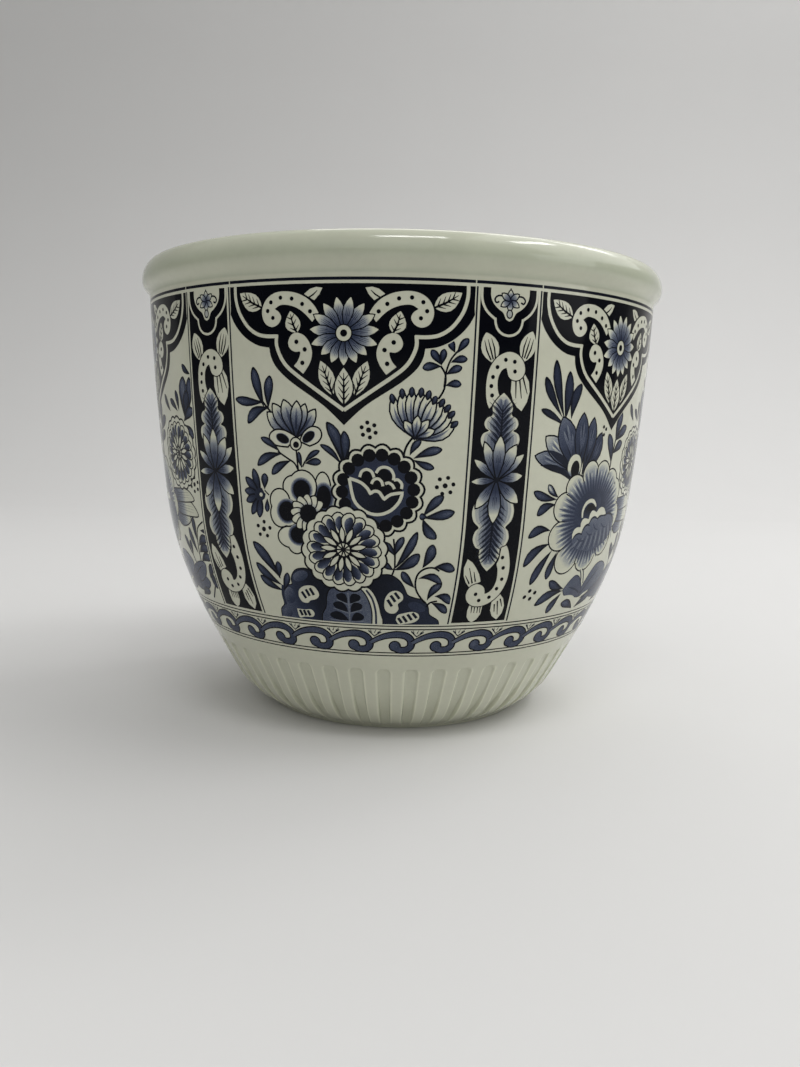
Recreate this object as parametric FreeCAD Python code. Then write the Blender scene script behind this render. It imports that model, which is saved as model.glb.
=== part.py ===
import FreeCAD, Part
import math
import os

# A round earthenware flower pot in delft style: one cast clay body with a rolled rim, a fluted
# lower part and a foot ring, glazed inside and out. On the glaze lie printed films of ink: six
# scalloped lambrequins under the rim, six flower panels, six pilasters and a wave border.
# The axis is Z, the foot ring stands on Z = 0, and the first panel faces -Y.
# Lengths are millimetres and angles degrees. A section is drawn as (radius, height).
# Radii and heights of the outside are those of the finished, glazed pot.

# Overall form of the outside
POT_HEIGHT = 184.5
NECK_RADIUS = 106.9
NECK_LEAN = 2.2
EDGE_HEIGHT = 1.2

# The outline of the wall below the neck, from the top down: each point as shares of the neck's
# radius and of the pot's height. The lowest point, the bottom edge, has its own height.
SHOULDER_SHARES = (0.943, 0.488)
BELLY_SHARES = (0.8765, 0.325)
FLUTE_TOP_SHARES = (0.755, 0.168)
HEEL_SHARES = (0.679, 0.0867)
EDGE_SHARE = 0.5313

# Rolled rim: a small hollow above the neck, a swell, a rounded face and a tight crown
RIM_HOLLOW_RADIUS = 4.4
RIM_HOLLOW_LEAN = 46.0
RIM_SWELL_RADIUS = 5.5
RIM_FACE_RADIUS = 9.5
RIM_FACE_LEAN = -36.0
RIM_CROWN_RADIUS = 4.6

# Clay and glaze
WALL_THICKNESS = 6.0
FLOOR_THICKNESS = 7.0
GLAZE_THICKNESS = 0.5

# Foot ring and the hollow under the floor
FOOT_INSET = 2.8
FOOT_WIDTH = 6.0
FOOT_BEVEL = 0.6
UNDERCUT_HEIGHT = 2.6
RECESS_HEIGHT = 3.0
RECESS_ROUND = 1.5

# Flutes: shallow grooves between flat ribs round the lower part
FLUTE_COUNT = 48
FLUTE_SHARE = 0.43
FLUTE_DEPTH = 1.3
FLUTE_EDGE_DEPTH = 0.7

# Prints: films of ink on the glaze. The sheets of one repeat leave a fine joint between them.
# They end a little below the neck, and the wave border lies a little above the flutes.
INK_THICKNESS = 0.25
REPEATS = 6
FIRST_PANEL_ANGLE = -90.0
PRINT_BELOW_NECK = 1.07
PILASTER_WIDTH = 24.2
BORDER_ABOVE_FLUTES = 5.4
BORDER_HEIGHT = 13.4
PRINT_JOINT = 0.4

# The lambrequin's outline: how far its tip hangs down, and points as shares of the half width of
# the panel and of that drop, from its upper corner to its tip
LAMBREQUIN_DROP = 47.8
SCALLOP_SHARES = [(1.04, 0.0), (0.92, 0.35), (0.63, 0.465)]
LOBE_SHARES = [(0.63, 0.465), (0.53, 0.66), (0.30, 0.82)]
TIP_SHARE = (0.0, 1.0)

# How far a cutting shape reaches past what it cuts, and when points or directions count as equal
OVERRUN = 2.0
SAME_PLACE = 1e-6
SAME_LEAN = 1e-3

FULL_TURN = 360.0
HALF_TURN = 180.0
RIGHT_ANGLE = 90.0


def at(radius, height):
    """A point of a section."""
    return FreeCAD.Vector(radius, 0, height)


def on_wall(shares):
    """A point of the wall's outline."""
    return at(shares[0] * NECK_RADIUS, shares[1] * POT_HEIGHT)


def heading(lean):
    """The direction that leans outward from straight up by that angle."""
    return at(math.sin(math.radians(lean)), math.cos(math.radians(lean)))


def lean_of(direction):
    return math.degrees(math.atan2(direction.x, direction.z))


def straight(start, end):
    """A straight run, written as an arc is: its start, middle and end, each with its lean."""
    lean = lean_of(end - start)
    return [(start, lean), ((start + end) / 2, lean), (end, lean)]


def curve_to(start, lean, end):
    """The arc that leaves start at that lean and ends at end."""
    chord_lean = lean_of(end - start)
    turn = 2 * ((chord_lean - lean + HALF_TURN) % FULL_TURN - HALF_TURN)
    bulge = (end - start).Length / 2 * math.tan(math.radians(turn / 4))
    middle = (start + end) / 2 + heading(chord_lean - RIGHT_ANGLE) * bulge
    return [(start, lean), (middle, lean + turn / 2), (end, lean + turn)]


def turn_to(start, lean, radius, new_lean):
    """The arc that leaves start at that lean and turns with that radius to a new lean."""
    turn = new_lean - lean
    chord = 2 * radius * math.sin(math.radians(abs(turn) / 2))
    return curve_to(start, lean, start + heading(lean + turn / 2) * chord)


def side_step(spot, distance):
    """The point beside a spot of an arc, to the right of its heading."""
    point, lean = spot
    return point + heading(lean + RIGHT_ANGLE) * distance


def beside(arcs, distance):
    """The same chain of arcs, moved sideways to the right of its heading."""
    return [[(side_step(spot, distance), spot[1]) for spot in arc] for arc in arcs]


def backwards(arcs):
    """The same chain of arcs from its end to its start."""
    made = []
    for arc in reversed(arcs):
        about = -HALF_TURN if arc[0][1] > RIGHT_ANGLE else HALF_TURN
        made.append([(point, lean + about) for point, lean in reversed(arc)])
    return made


def start_of(arcs):
    return arcs[0][0][0]


def end_of(arcs):
    return arcs[-1][-1][0]


def edges_of(arcs):
    """The chain's edges. An arc that doesn't bend is a line."""
    made = []
    for arc in arcs:
        points = [spot[0] for spot in arc]
        if abs(arc[-1][1] - arc[0][1]) < SAME_LEAN:
            made.append(Part.makeLine(points[0], points[-1]))
        else:
            made.append(Part.Arc(*points).toShape())
    return made


def section_face(pieces):
    """A face in the section plane. Chains of arcs and single points, in order, are joined by lines."""
    edges = []
    spans = []
    for piece in pieces:
        if isinstance(piece, FreeCAD.Vector):
            spans.append((piece, piece, []))
        else:
            spans.append((start_of(piece), end_of(piece), edges_of(piece)))
    for span, following in zip(spans, spans[1:] + spans[:1]):
        edges.extend(span[2])
        if not span[1].isEqual(following[0], SAME_PLACE):
            edges.append(Part.makeLine(span[1], following[0]))
    return Part.Face(Part.Wire(edges))


def turned(shape, angle):
    """A copy, turned round the pot's axis."""
    copy = shape.copy()
    copy.rotate(FreeCAD.Vector(), FreeCAD.Vector(0, 0, 1), angle)
    return copy


def spun(face, middle_angle=0.0, angle=FULL_TURN):
    """The solid that a section sweeps round the axis, half of it to each side of an angle."""
    solid = face.revolve(FreeCAD.Vector(), FreeCAD.Vector(0, 0, 1), angle)
    return turned(solid, middle_angle - angle / 2)


def rim_arcs(neck):
    """The outside of the rim, from the neck up to its crown."""
    hollow = turn_to(neck, NECK_LEAN, RIM_HOLLOW_RADIUS, RIM_HOLLOW_LEAN)
    swell = turn_to(end_of([hollow]), RIM_HOLLOW_LEAN, RIM_SWELL_RADIUS, 0.0)
    face = turn_to(end_of([swell]), 0.0, RIM_FACE_RADIUS, RIM_FACE_LEAN)
    crown = turn_to(end_of([face]), RIM_FACE_LEAN, RIM_CROWN_RADIUS, -RIGHT_ANGLE)
    return [hollow, swell, face, crown]


def wall_arcs(neck):
    """The outside of the wall, from the bottom edge up to the neck."""
    arcs = []
    spot = (neck, NECK_LEAN + HALF_TURN)
    for point in (on_wall(SHOULDER_SHARES), on_wall(BELLY_SHARES), FLUTE_TOP, HEEL, EDGE):
        arcs.append(curve_to(*spot, point))
        spot = arcs[-1][-1]
    return backwards(arcs)


# The finished outside. The neck lies as far below the top as the rim is high.
FLUTE_TOP = on_wall(FLUTE_TOP_SHARES)
HEEL = on_wall(HEEL_SHARES)
EDGE = at(EDGE_SHARE * NECK_RADIUS, EDGE_HEIGHT)
RIM_RISE = end_of(rim_arcs(at(NECK_RADIUS, 0))).z
NECK = at(NECK_RADIUS, POT_HEIGHT - RIM_RISE)
WALL = wall_arcs(NECK)
RIM = rim_arcs(NECK)
GLAZED_WALL = WALL_THICKNESS + 2 * GLAZE_THICKNESS
GLAZED_FLOOR = RECESS_HEIGHT + FLOOR_THICKNESS + GLAZE_THICKNESS
FOOT_OUTER_RADIUS = EDGE.x - FOOT_INSET
FOOT_INNER_RADIUS = FOOT_OUTER_RADIUS - FOOT_WIDTH
PRINT_TOP = NECK.z - PRINT_BELOW_NECK
BORDER_BOTTOM = FLUTE_TOP.z + BORDER_ABOVE_FLUTES
BORDER_TOP = BORDER_BOTTOM + BORDER_HEIGHT
PRINT_BOTTOM = BORDER_TOP + PRINT_JOINT


def mouth_radius(crown, wall_top):
    """The radius that leads the rim from its crown into the inner wall without a corner."""
    point, lean = wall_top
    across = heading(lean - RIGHT_ANGLE)
    return (crown - point).dot(across) / (1 - math.sin(math.radians(NECK_LEAN)))


def inside_arcs():
    """The finished inside, from the crown of the rim down to the middle of the floor."""
    wall = backwards(beside(WALL, -GLAZED_WALL))[:-1]
    crown = end_of(RIM)
    lean_down = NECK_LEAN - HALF_TURN
    mouth = turn_to(crown, -RIGHT_ANGLE, mouth_radius(crown, wall[0][0]), lean_down)
    throat = straight(end_of([mouth]), start_of(wall))
    corner_start, corner_lean = wall[-1][-1]
    slope = math.radians(corner_lean - HALF_TURN)
    corner_radius = (corner_start.z - GLAZED_FLOOR) / (1 - math.sin(slope))
    corner = turn_to(corner_start, corner_lean, corner_radius, HALF_TURN + RIGHT_ANGLE)
    floor = straight(end_of([corner]), at(0, GLAZED_FLOOR))
    return [mouth, throat] + wall + [corner, floor]


INSIDE = inside_arcs()


def flute_cutters(margin):
    """One cutting shape for each flute, larger than the finished flute by a margin on each side."""
    lower_wall = backwards(WALL[:2])
    top_spot, heel_spot = lower_wall[0][0], lower_wall[0][-1]
    edge_spot = lower_wall[1][-1]
    rise = heading(top_spot[1]) * -margin
    top = side_step(top_spot, FLUTE_DEPTH + margin) + rise
    heel = side_step(heel_spot, FLUTE_DEPTH + margin)
    edge = side_step(edge_spot, FLUTE_EDGE_DEPTH + margin)
    face = section_face([
        [[(top, top_spot[1]), (heel, heel_spot[1]), (edge, edge_spot[1])]],
        edge - at(0, OVERRUN),
        at(FLUTE_TOP.x + OVERRUN, edge.z - OVERRUN),
        side_step(top_spot, -OVERRUN) + rise,
    ])
    pitch = FULL_TURN / FLUTE_COUNT
    cutter = spun(face, 0.0, pitch * FLUTE_SHARE + math.degrees(2 * margin / HEEL.x))
    return [turned(cutter, pitch * number) for number in range(FLUTE_COUNT)]


def clay_body():
    """The casting: wall, rim, floor, foot ring and flutes in one piece of fired clay."""
    recess = turn_to(
        at(FOOT_INNER_RADIUS, RECESS_HEIGHT - RECESS_ROUND), 0.0, RECESS_ROUND, -RIGHT_ANGLE
    )
    face = section_face([
        backwards(beside(INSIDE, -GLAZE_THICKNESS)),
        backwards(beside(WALL + RIM, -GLAZE_THICKNESS)),
        at(FOOT_OUTER_RADIUS, UNDERCUT_HEIGHT),
        at(FOOT_OUTER_RADIUS, FOOT_BEVEL),
        at(FOOT_OUTER_RADIUS - FOOT_BEVEL, 0),
        at(FOOT_INNER_RADIUS + FOOT_BEVEL, 0),
        at(FOOT_INNER_RADIUS, FOOT_BEVEL),
        [recess],
        at(0, RECESS_HEIGHT),
    ])
    return spun(face).cut(flute_cutters(GLAZE_THICKNESS))


def glaze_outside(clay):
    """The coat over the outside, from the crown of the rim down to the bottom edge."""
    depth = FLUTE_DEPTH + OVERRUN
    face = section_face([
        WALL + RIM,
        backwards(beside(RIM, -GLAZE_THICKNESS)),
        backwards(beside(WALL, -depth)),
    ])
    return spun(face).cut(flute_cutters(0)).cut(clay)


def glaze_inside():
    """The coat over the inside, from the crown of the rim down to the floor."""
    return spun(section_face([INSIDE, backwards(beside(INSIDE, -GLAZE_THICKNESS))]))


def glaze_underside():
    """The coat in the hollow under the floor. The foot ring round it is bare clay."""
    bottom = at(FOOT_INNER_RADIUS, FOOT_BEVEL + GLAZE_THICKNESS)
    side_top = at(FOOT_INNER_RADIUS, RECESS_HEIGHT - RECESS_ROUND)
    side = straight(bottom, side_top)
    corner = turn_to(side_top, 0.0, RECESS_ROUND, -RIGHT_ANGLE)
    ceiling = straight(end_of([corner]), at(0, RECESS_HEIGHT))
    line = [side, corner, ceiling]
    return spun(section_face([line, backwards(beside(line, -GLAZE_THICKNESS))]))


def cut_to_heights(arcs, low, high):
    """The part of a rising chain of arcs that lies between two heights."""
    kept = []
    for arc in arcs:
        bottom = max(low, start_of([arc]).z)
        top = min(high, end_of([arc]).z)
        if bottom >= top:
            continue
        edge = edges_of([arc])[0]
        ends = []
        for height in (bottom, top):
            level = Part.makeLine(at(0, height), at(2 * NECK_RADIUS, height))
            ends.append(edge.distToShape(level)[1][0][0])
        point, lean = arc[0]
        if not ends[0].isEqual(point, SAME_PLACE):
            lean = 2 * lean_of(ends[0] - point) - lean
        kept.append(curve_to(ends[0], lean, ends[1]))
    return kept


def ink_film(low, high, middle_angle, angle):
    """A film of ink on the glaze, between two heights, that goes that far round the pot."""
    line = cut_to_heights(WALL, low, high)
    return spun(section_face([line, backwards(beside(line, INK_THICKNESS))]), middle_angle, angle)


def upright_block(width, middle_angle):
    """A block that stands across the wall and is as wide as an upright strip."""
    reach = 2 * NECK_RADIUS
    block = Part.makeBox(reach, width, POT_HEIGHT, FreeCAD.Vector(0, -width / 2, 0))
    return turned(block, middle_angle)


def lambrequin_block(margin):
    """A block with the lambrequin's outline, larger all round by a margin, at angle zero."""
    side_angle = math.radians(HALF_TURN / REPEATS) - math.asin(PILASTER_WIDTH / 2 / NECK_RADIUS)
    half_width = NECK_RADIUS * math.sin(side_angle)

    def corner(side, shares):
        across, down = shares
        drop = down * (LAMBREQUIN_DROP + margin)
        return FreeCAD.Vector(0, side * across * (half_width + margin), PRINT_TOP - drop)

    edges = []
    for side in (-1, 1):
        shoulder = [corner(side, shares) for shares in SCALLOP_SHARES]
        lobe = [corner(side, shares) for shares in LOBE_SHARES]
        edges.append(Part.Arc(*shoulder).toShape())
        edges.append(Part.Arc(*lobe).toShape())
        edges.append(Part.makeLine(lobe[-1], corner(side, TIP_SHARE)))
    upper = [corner(side, SCALLOP_SHARES[0]) for side in (-1, 1)]
    above = [point + FreeCAD.Vector(0, 0, OVERRUN) for point in upper]
    edges += [
        Part.makeLine(upper[0], above[0]),
        Part.makeLine(above[0], above[1]),
        Part.makeLine(above[1], upper[1]),
    ]
    outline = Part.Wire(Part.__sortEdges__(edges))
    return Part.Face(outline).extrude(FreeCAD.Vector(2 * NECK_RADIUS, 0, 0))


def between_pilasters(middle_angle):
    """The film between two pilasters, which the lambrequin and the flower panel share."""
    repeat = FULL_TURN / REPEATS
    film = ink_film(PRINT_BOTTOM, PRINT_TOP, middle_angle, repeat)
    width = PILASTER_WIDTH + 2 * PRINT_JOINT
    sides = [upright_block(width, middle_angle + side * repeat / 2) for side in (-1, 1)]
    return film.cut(sides)


def lambrequin_print(middle_angle):
    return between_pilasters(middle_angle).common(turned(lambrequin_block(0), middle_angle))


def panel_print(middle_angle):
    return between_pilasters(middle_angle).cut(turned(lambrequin_block(PRINT_JOINT), middle_angle))


def pilaster_print(middle_angle):
    film = ink_film(PRINT_BOTTOM, PRINT_TOP, middle_angle, FULL_TURN / REPEATS)
    return film.common(upright_block(PILASTER_WIDTH, middle_angle))


def wave_border_print(middle_angle):
    angle = FULL_TURN / REPEATS - math.degrees(PRINT_JOINT / on_wall(BELLY_SHARES).x)
    return ink_film(BORDER_BOTTOM, BORDER_TOP, middle_angle, angle)


def save(node, shape):
    """Writes one node, and prints what it holds so that a fault shows."""
    solids = shape.Solids
    whole = solids[0] if len(solids) == 1 else Part.makeCompound(solids)
    whole.exportStep(os.path.join("parts", node + ".step"))
    state = "valid" if whole.isValid() else "NOT VALID"
    print(f"{node}: {len(solids)} solid, {whole.Volume:.1f} mm3, {state}")


def main():
    os.makedirs("parts", exist_ok=True)
    clay = clay_body()
    save("clay_body", clay)
    save("glaze_outside", glaze_outside(clay))
    save("glaze_inside", glaze_inside())
    save("glaze_underside", glaze_underside())
    repeat = FULL_TURN / REPEATS
    for number in range(REPEATS):
        angle = FIRST_PANEL_ANGLE + repeat * number
        save(f"lambrequin_print_{number + 1}", lambrequin_print(angle))
        save(f"panel_print_{number + 1}", panel_print(angle))
        save(f"pilaster_print_{number + 1}", pilaster_print(angle + repeat / 2))
        save(f"wave_border_print_{number + 1}", wave_border_print(angle))


main()
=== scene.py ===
"""A round delft flower pot in glazed earthenware, printed in blue with lambrequins, flower panels,
pilasters and a wave border. Sections and drawings are in millimetres and meshes in metres, in the
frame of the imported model: the axis is Z, the pot stands on Z = 0, and panel 1 faces -Y."""

import bpy
import bmesh
import numpy as np
from math import atan2, ceil, cos, degrees, dist, hypot, log, pi, radians, sin, sqrt
from mathutils import Matrix, Vector
from mathutils.geometry import delaunay_2d_cdt


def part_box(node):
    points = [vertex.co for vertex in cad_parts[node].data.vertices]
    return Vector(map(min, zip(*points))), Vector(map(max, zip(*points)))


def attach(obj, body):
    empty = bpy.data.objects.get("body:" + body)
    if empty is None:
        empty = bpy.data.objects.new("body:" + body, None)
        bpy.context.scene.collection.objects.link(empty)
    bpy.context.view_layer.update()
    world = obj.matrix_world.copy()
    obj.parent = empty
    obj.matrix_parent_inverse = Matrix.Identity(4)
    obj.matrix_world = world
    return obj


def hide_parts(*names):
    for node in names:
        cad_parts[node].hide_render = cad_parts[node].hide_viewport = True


bl_info = {
    "name": "Delft flower pot",
    "version": (1, 0, 0),
    "blender": (4, 5, 0),
    "location": "3D View > Sidebar > Flower Pot",
    "description": "Builds the glaze, the printed ornament and the studio of a delft flower pot",
    "category": "Add Mesh",
}

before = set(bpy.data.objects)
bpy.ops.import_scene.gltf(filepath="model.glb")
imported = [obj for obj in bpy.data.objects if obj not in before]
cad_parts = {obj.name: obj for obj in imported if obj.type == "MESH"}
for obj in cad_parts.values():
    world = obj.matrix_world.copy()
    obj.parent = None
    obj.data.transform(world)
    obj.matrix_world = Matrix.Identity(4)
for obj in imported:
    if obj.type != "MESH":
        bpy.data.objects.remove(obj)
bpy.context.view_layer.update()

MM = 0.001
BODY = "root"
POT_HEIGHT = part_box("glaze_outside")[1][2] / MM

# Places on the outline, as shares of the neck's radius and of the pot's height, from the top down
WALL_SHARES = [(0.943, 0.488), (0.8765, 0.325), (0.755, 0.168), (0.679, 0.0867)]
EDGE_SHARE = 0.5313
EDGE_HEIGHT = 1.2
LIP_INSET = 0.25
LIP_HEIGHT = 0.2
NECK_LEAN = 2.2
# The rim's arcs, from the neck up: the radius of each and the lean that it ends at
RIM_ARCS = [(4.4, 46.0), (5.5, 0.0), (9.5, -36.0), (4.6, -90.0)]
# Where the hollow under the floor lies, and how the inside meets it
HOLLOW_RADIUS = 48.0
HOLLOW_HEIGHT = 3.0
HOLLOW_ROUND = 1.5
HOLLOW_START = 1.1
FLOOR_HEIGHT = 10.5
# The prints: six repeats, upright strips between the panels, and the joint between two sheets
REPEATS = 6
REPEAT_ANGLE = 2 * pi / REPEATS
FIRST_PANEL = -pi / 2
STRIP_HALF = 12.1
PRINT_JOINT = 0.4
PRINT_TOP = 168.95
PRINT_BOTTOM = 50.25
# How far down a lambrequin's sides reach, the edges of the line under the rim, and the top of the dark
# ground below that line
SIDE_REACH = 11.0
RIM_LINE_LOW = 167.95
RIM_LINE_HIGH = 169.2
GROUND_TOP = 166.9
# The wave border, with its four lines and its waves to a repeat
BORDER_RADIUS = 87.5
BORDER_TOP = 49.7
BORDER_BOTTOM = 36.5
BORDER_LINES = (49.5, 48.2, 38.35, 37.1)
BORDER_LINE_HALF = 0.22
WAVES = 6
# How much darker glaze colour the flutes get, as pooled glaze and painted shade, and the rim, as painted
# shade
FLUTE_POOL_AND_SHADE = 0.12
RIM_PAINTED_SHADE = 0.34
RIM_SHADE_BAND = 0.42
# How much of a flute's depth is left under the glaze, and in millimetres down from a flute's top and up
# from the bottom edge, how far its round end and its fading foot reach
FLUTE_FILL = 0.8
FLUTE_ROUND = 2.2
FLUTE_FADE = 6.0
# A flute's half width, how wide its side is and how wide the painted highlight on its edge is, as shares of
# the pitch, and the depth in millimetres from which that highlight shows in full
FLUTE_HALF = 0.26
FLUTE_SIDE = 0.07
FLUTE_HIGHLIGHT = 0.04
FLUTE_HIGHLIGHT_FROM = 0.4
# How many steps the wall's arcs have, from the neck down, in a coat of glaze and under a print
WALL_STEPS = (12, 12, 12, 20, 8)
FINE_STEPS = (160, 90, 90, 40, 20)
# How many spots of a coat's front go to one of its back, and the angle from which an edge is sharp
BACK_STEP = 4
SHARP_ANGLE = radians(50)

# Tones of the print: 0 is the darkest ink, 1 nearly the bare glaze
INK = 0.0
BLUE = 0.42
SLATE = 0.6
PALE = 0.82
BARE = None
# Widths of an edge and a line in millimetres, and how much wider the pen draws them
FINE = 0.42
LINE = 0.45
PEN = 1.25
# The unit normals of a corner's two sides, added up, count as no shorter than this when a shape is
# grown, so that a sharp corner grows no spike
SHARPEST_CORNER = 0.7


def measure(name, description, default, least):
    """A length in metres that a user can change."""
    return bpy.props.FloatProperty(
        name=name, description=description, default=default, min=least, unit="LENGTH")


def pigment(name, description, default):
    """A colour that a user can change."""
    return bpy.props.FloatVectorProperty(
        name=name, description=description, default=default, size=3, subtype="COLOR", min=0.0, max=1.0)


def light_power(name, description, default):
    """The power of a light."""
    return bpy.props.FloatProperty(name=name, description=description, default=default, min=0.0, unit="POWER")


class PotSizes(bpy.types.PropertyGroup):
    """Sizes of the glazed pot."""

    neck_radius: measure("Neck radius", "Outer radius just under the rim", 0.1069, 0.02)
    wall_thickness: measure("Wall thickness", "Thickness of the wall with its glaze", 0.007, 0.002)
    glaze_thickness: measure("Glaze thickness", "Thickness of the coat of glaze", 0.0005, 0.0001)
    flute_count: bpy.props.IntProperty(
        name="Flutes", description="Number of grooves round the lower part", default=48, min=3)
    flute_depth: measure("Flute depth", "Depth of a flute in its upper part", 0.0013, 0.0)
    flute_edge_depth: measure("Flute depth at the edge", "Depth of a flute at the bottom edge", 0.0007, 0.0)
    print_lift: measure("Print lift", "How far the ink stands on the glaze", 0.00003, 0.0)
    print_grid: measure(
        "Print grid", "Largest spacing of the points that bend a print round the pot", 0.0025, 0.0005)


class PotColours(bpy.types.PropertyGroup):
    """Colours of clay, glaze and ink."""

    glaze: pigment("Glaze", "White glaze", (0.588, 0.596, 0.478))
    # The darker glaze colour: glaze pooled in the flutes, and painted shade there and on the rim's face
    pooled_and_shaded: pigment("Pooled glaze", "Glaze where it lies thick, in hollows and flutes", (0.41, 0.445, 0.335))
    ink: pigment("Dark ink", "Darkest ink of the print", (0.002, 0.0025, 0.0045))
    blue: pigment("Blue ink", "Middle ink of the print", (0.032, 0.042, 0.075))
    slate: pigment("Slate ink", "Washed ink of the print", (0.079, 0.094, 0.138))
    clay: pigment("Clay", "Bare fired clay of the foot ring", (0.50, 0.45, 0.34))
    glaze_roughness: bpy.props.FloatProperty(
        name="Glaze roughness", description="Roughness of the clean glaze", default=0.1, min=0.0, max=1.0,
        subtype="FACTOR")


class StudioSettings(bpy.types.PropertyGroup):
    """Camera, lights and ground."""

    camera_distance: measure("Camera distance", "From the pot's axis to the camera", 0.4068, 0.1)
    camera_height: bpy.props.FloatProperty(
        name="Camera height", description="Height of the camera above the ground", default=0.1236,
        unit="LENGTH")
    camera_round: bpy.props.FloatProperty(
        name="Camera round", description="How far the camera stands to the right of panel 1",
        default=radians(10.3), unit="ROTATION")
    camera_lens: bpy.props.FloatProperty(
        name="Lens", description="Focal length on a 36 mm high frame", default=30.45, min=1.0)
    ground: pigment("Ground", "Floor and backdrop", (0.695, 0.69, 0.68))
    key_power: light_power("Key light", "Power of the large light above, on the right", 8.2)
    back_power: light_power("Back light", "Power of the light behind, above the rim", 2.2)
    side_power: light_power("Side light", "Power of the small light on the right", 2.2)
    top_power: light_power("Top light", "Power of the narrow light overhead, which shines on the rim", 2.9)
    low_power: light_power("Low light", "Power of the soft light low on the right", 1.3)
    wall_power: light_power("Wall light", "Power of the light that brightens the backdrop, on the right",
                            10.0)
    front_power: light_power("Front light", "Power of the large light in front", 2.6)
    low_fill: bpy.props.FloatProperty(
        name="Low fill", description="Strength of the even light at the horizon", default=0.09, min=0.0)
    high_fill: bpy.props.FloatProperty(
        name="High fill", description="Strength of the even light overhead", default=0.72, min=0.0)


def sizes():
    return bpy.context.scene.pot_sizes


def colours():
    return bpy.context.scene.pot_colours


def studio():
    return bpy.context.scene.pot_studio


# The form: sections as spots (radius, height, lean), where lean is degrees outward from straight up


def arc_spots(start, lean, turn, chord, shares):
    """Spots along an arc, from its start, its lean there, its whole turn and its chord's length."""
    half = radians(turn / 2)
    spots = []
    for share in shares:
        reach = chord * (sin(half * share) / sin(half) if abs(half) > 1e-6 else share)
        way = radians(lean) + half * share
        spots.append((start[0] + reach * sin(way), start[1] + reach * cos(way), lean + turn * share))
    return spots


def evenly(count):
    """The shares from 0 to 1 in that many steps."""
    return [step / count for step in range(count + 1)]


def curve_to(spot, end, shares):
    """The arc that leaves a spot in its own direction and ends at a point."""
    chord_lean = degrees(atan2(end[0] - spot[0], end[1] - spot[1]))
    turn = 2 * ((chord_lean - spot[2] + 180) % 360 - 180)
    return arc_spots(spot, spot[2], turn, dist(spot[:2], end), shares)


def turn_to(spot, radius, lean, shares):
    """The arc that leaves a spot in its own direction and turns with that radius to a new lean."""
    turn = lean - spot[2]
    chord = 2 * radius * sin(radians(abs(turn) / 2))
    return arc_spots(spot, spot[2], turn, chord, shares)


def beside(spots, distance):
    """The same section, moved to the right of its heading."""
    moved = []
    for radius, height, lean in spots:
        way = radians(lean)
        moved.append((radius + distance * cos(way), height - distance * sin(way), lean))
    return moved


def backwards(spots):
    """The same section, followed the other way."""
    return [(radius, height, lean - 180) for radius, height, lean in reversed(spots)]


def rim_spots(neck, steps=10):
    """The rim's outside, from the neck up to its crown."""
    spots = [neck]
    for radius, lean in RIM_ARCS:
        count = max(3, round(radius * abs(lean - spots[-1][2]) / 360 * steps))
        spots += turn_to(spots[-1], radius, lean, evenly(count))[1:]
    return spots


def neck_spot():
    """The spot just under the rim, so far down that the rim's crown is at the pot's height."""
    radius = sizes().neck_radius / MM
    rise = rim_spots((radius, 0.0, NECK_LEAN))[-1][1]
    return (radius, POT_HEIGHT - rise, NECK_LEAN)


def wall_spots(counts=WALL_STEPS):
    """The wall's outside from the bottom edge up to the neck, with that many steps in its arcs."""
    neck = neck_spot()
    spots = [(neck[0], neck[1], NECK_LEAN + 180)]
    ends = [(wide * neck[0], high * POT_HEIGHT) for wide, high in WALL_SHARES]
    ends.append((EDGE_SHARE * neck[0], EDGE_HEIGHT))
    for number, (end, count) in enumerate(zip(ends, counts)):
        shares = evenly(count)
        if number == 3:
            shares = [1 - cos(share * pi / 2) for share in shares]
        spots += curve_to(spots[-1], end, shares)[1:]
    return backwards(spots)


def inside_spots():
    """The inside, from the crown of the rim down to the middle of the floor."""
    crown = rim_spots(neck_spot())[-1]
    thickness = sizes().wall_thickness / MM
    wall = beside(backwards(wall_spots()[WALL_STEPS[-1]:]), thickness)
    way = radians(NECK_LEAN)
    span = (crown[0] - wall[0][0]) * cos(way) - (crown[1] - wall[0][1]) * sin(way)
    mouth = turn_to(crown, span / (1 - sin(way)), NECK_LEAN - 180, evenly(12))
    heel = wall[-1]
    slope = radians(heel[2] + 180)
    corner_radius = (heel[1] - FLOOR_HEIGHT) / (1 - sin(slope))
    corner = turn_to(heel, corner_radius, -90, evenly(8))
    floor = [(corner[-1][0] * (1 - share), FLOOR_HEIGHT, -90) for share in evenly(6)]
    return mouth + wall + corner[1:] + floor[1:]


def hollow_spots():
    """The hollow under the floor, from its middle out and down to the bare foot ring."""
    side = (HOLLOW_RADIUS, HOLLOW_HEIGHT - HOLLOW_ROUND, 0.0)
    corner = turn_to(side, HOLLOW_ROUND, -90, evenly(6))
    line = [(HOLLOW_RADIUS, HOLLOW_START, 0.0)] + corner
    line += [(corner[-1][0] * (1 - share), HOLLOW_HEIGHT, -90) for share in evenly(6)[1:]]
    return backwards(line)


def flute_angles():
    """Angles round the pot, closer together at the sides of each flute."""
    pitch = 360 / sizes().flute_count
    shares = [0.0, 0.12, 0.195, 0.22, 0.24, 0.26, 0.29, 0.34]
    one = [-share for share in shares[:0:-1]] + shares + [0.5]
    return np.radians([pitch * (number + share) for number in range(sizes().flute_count) for share in one])


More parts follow.
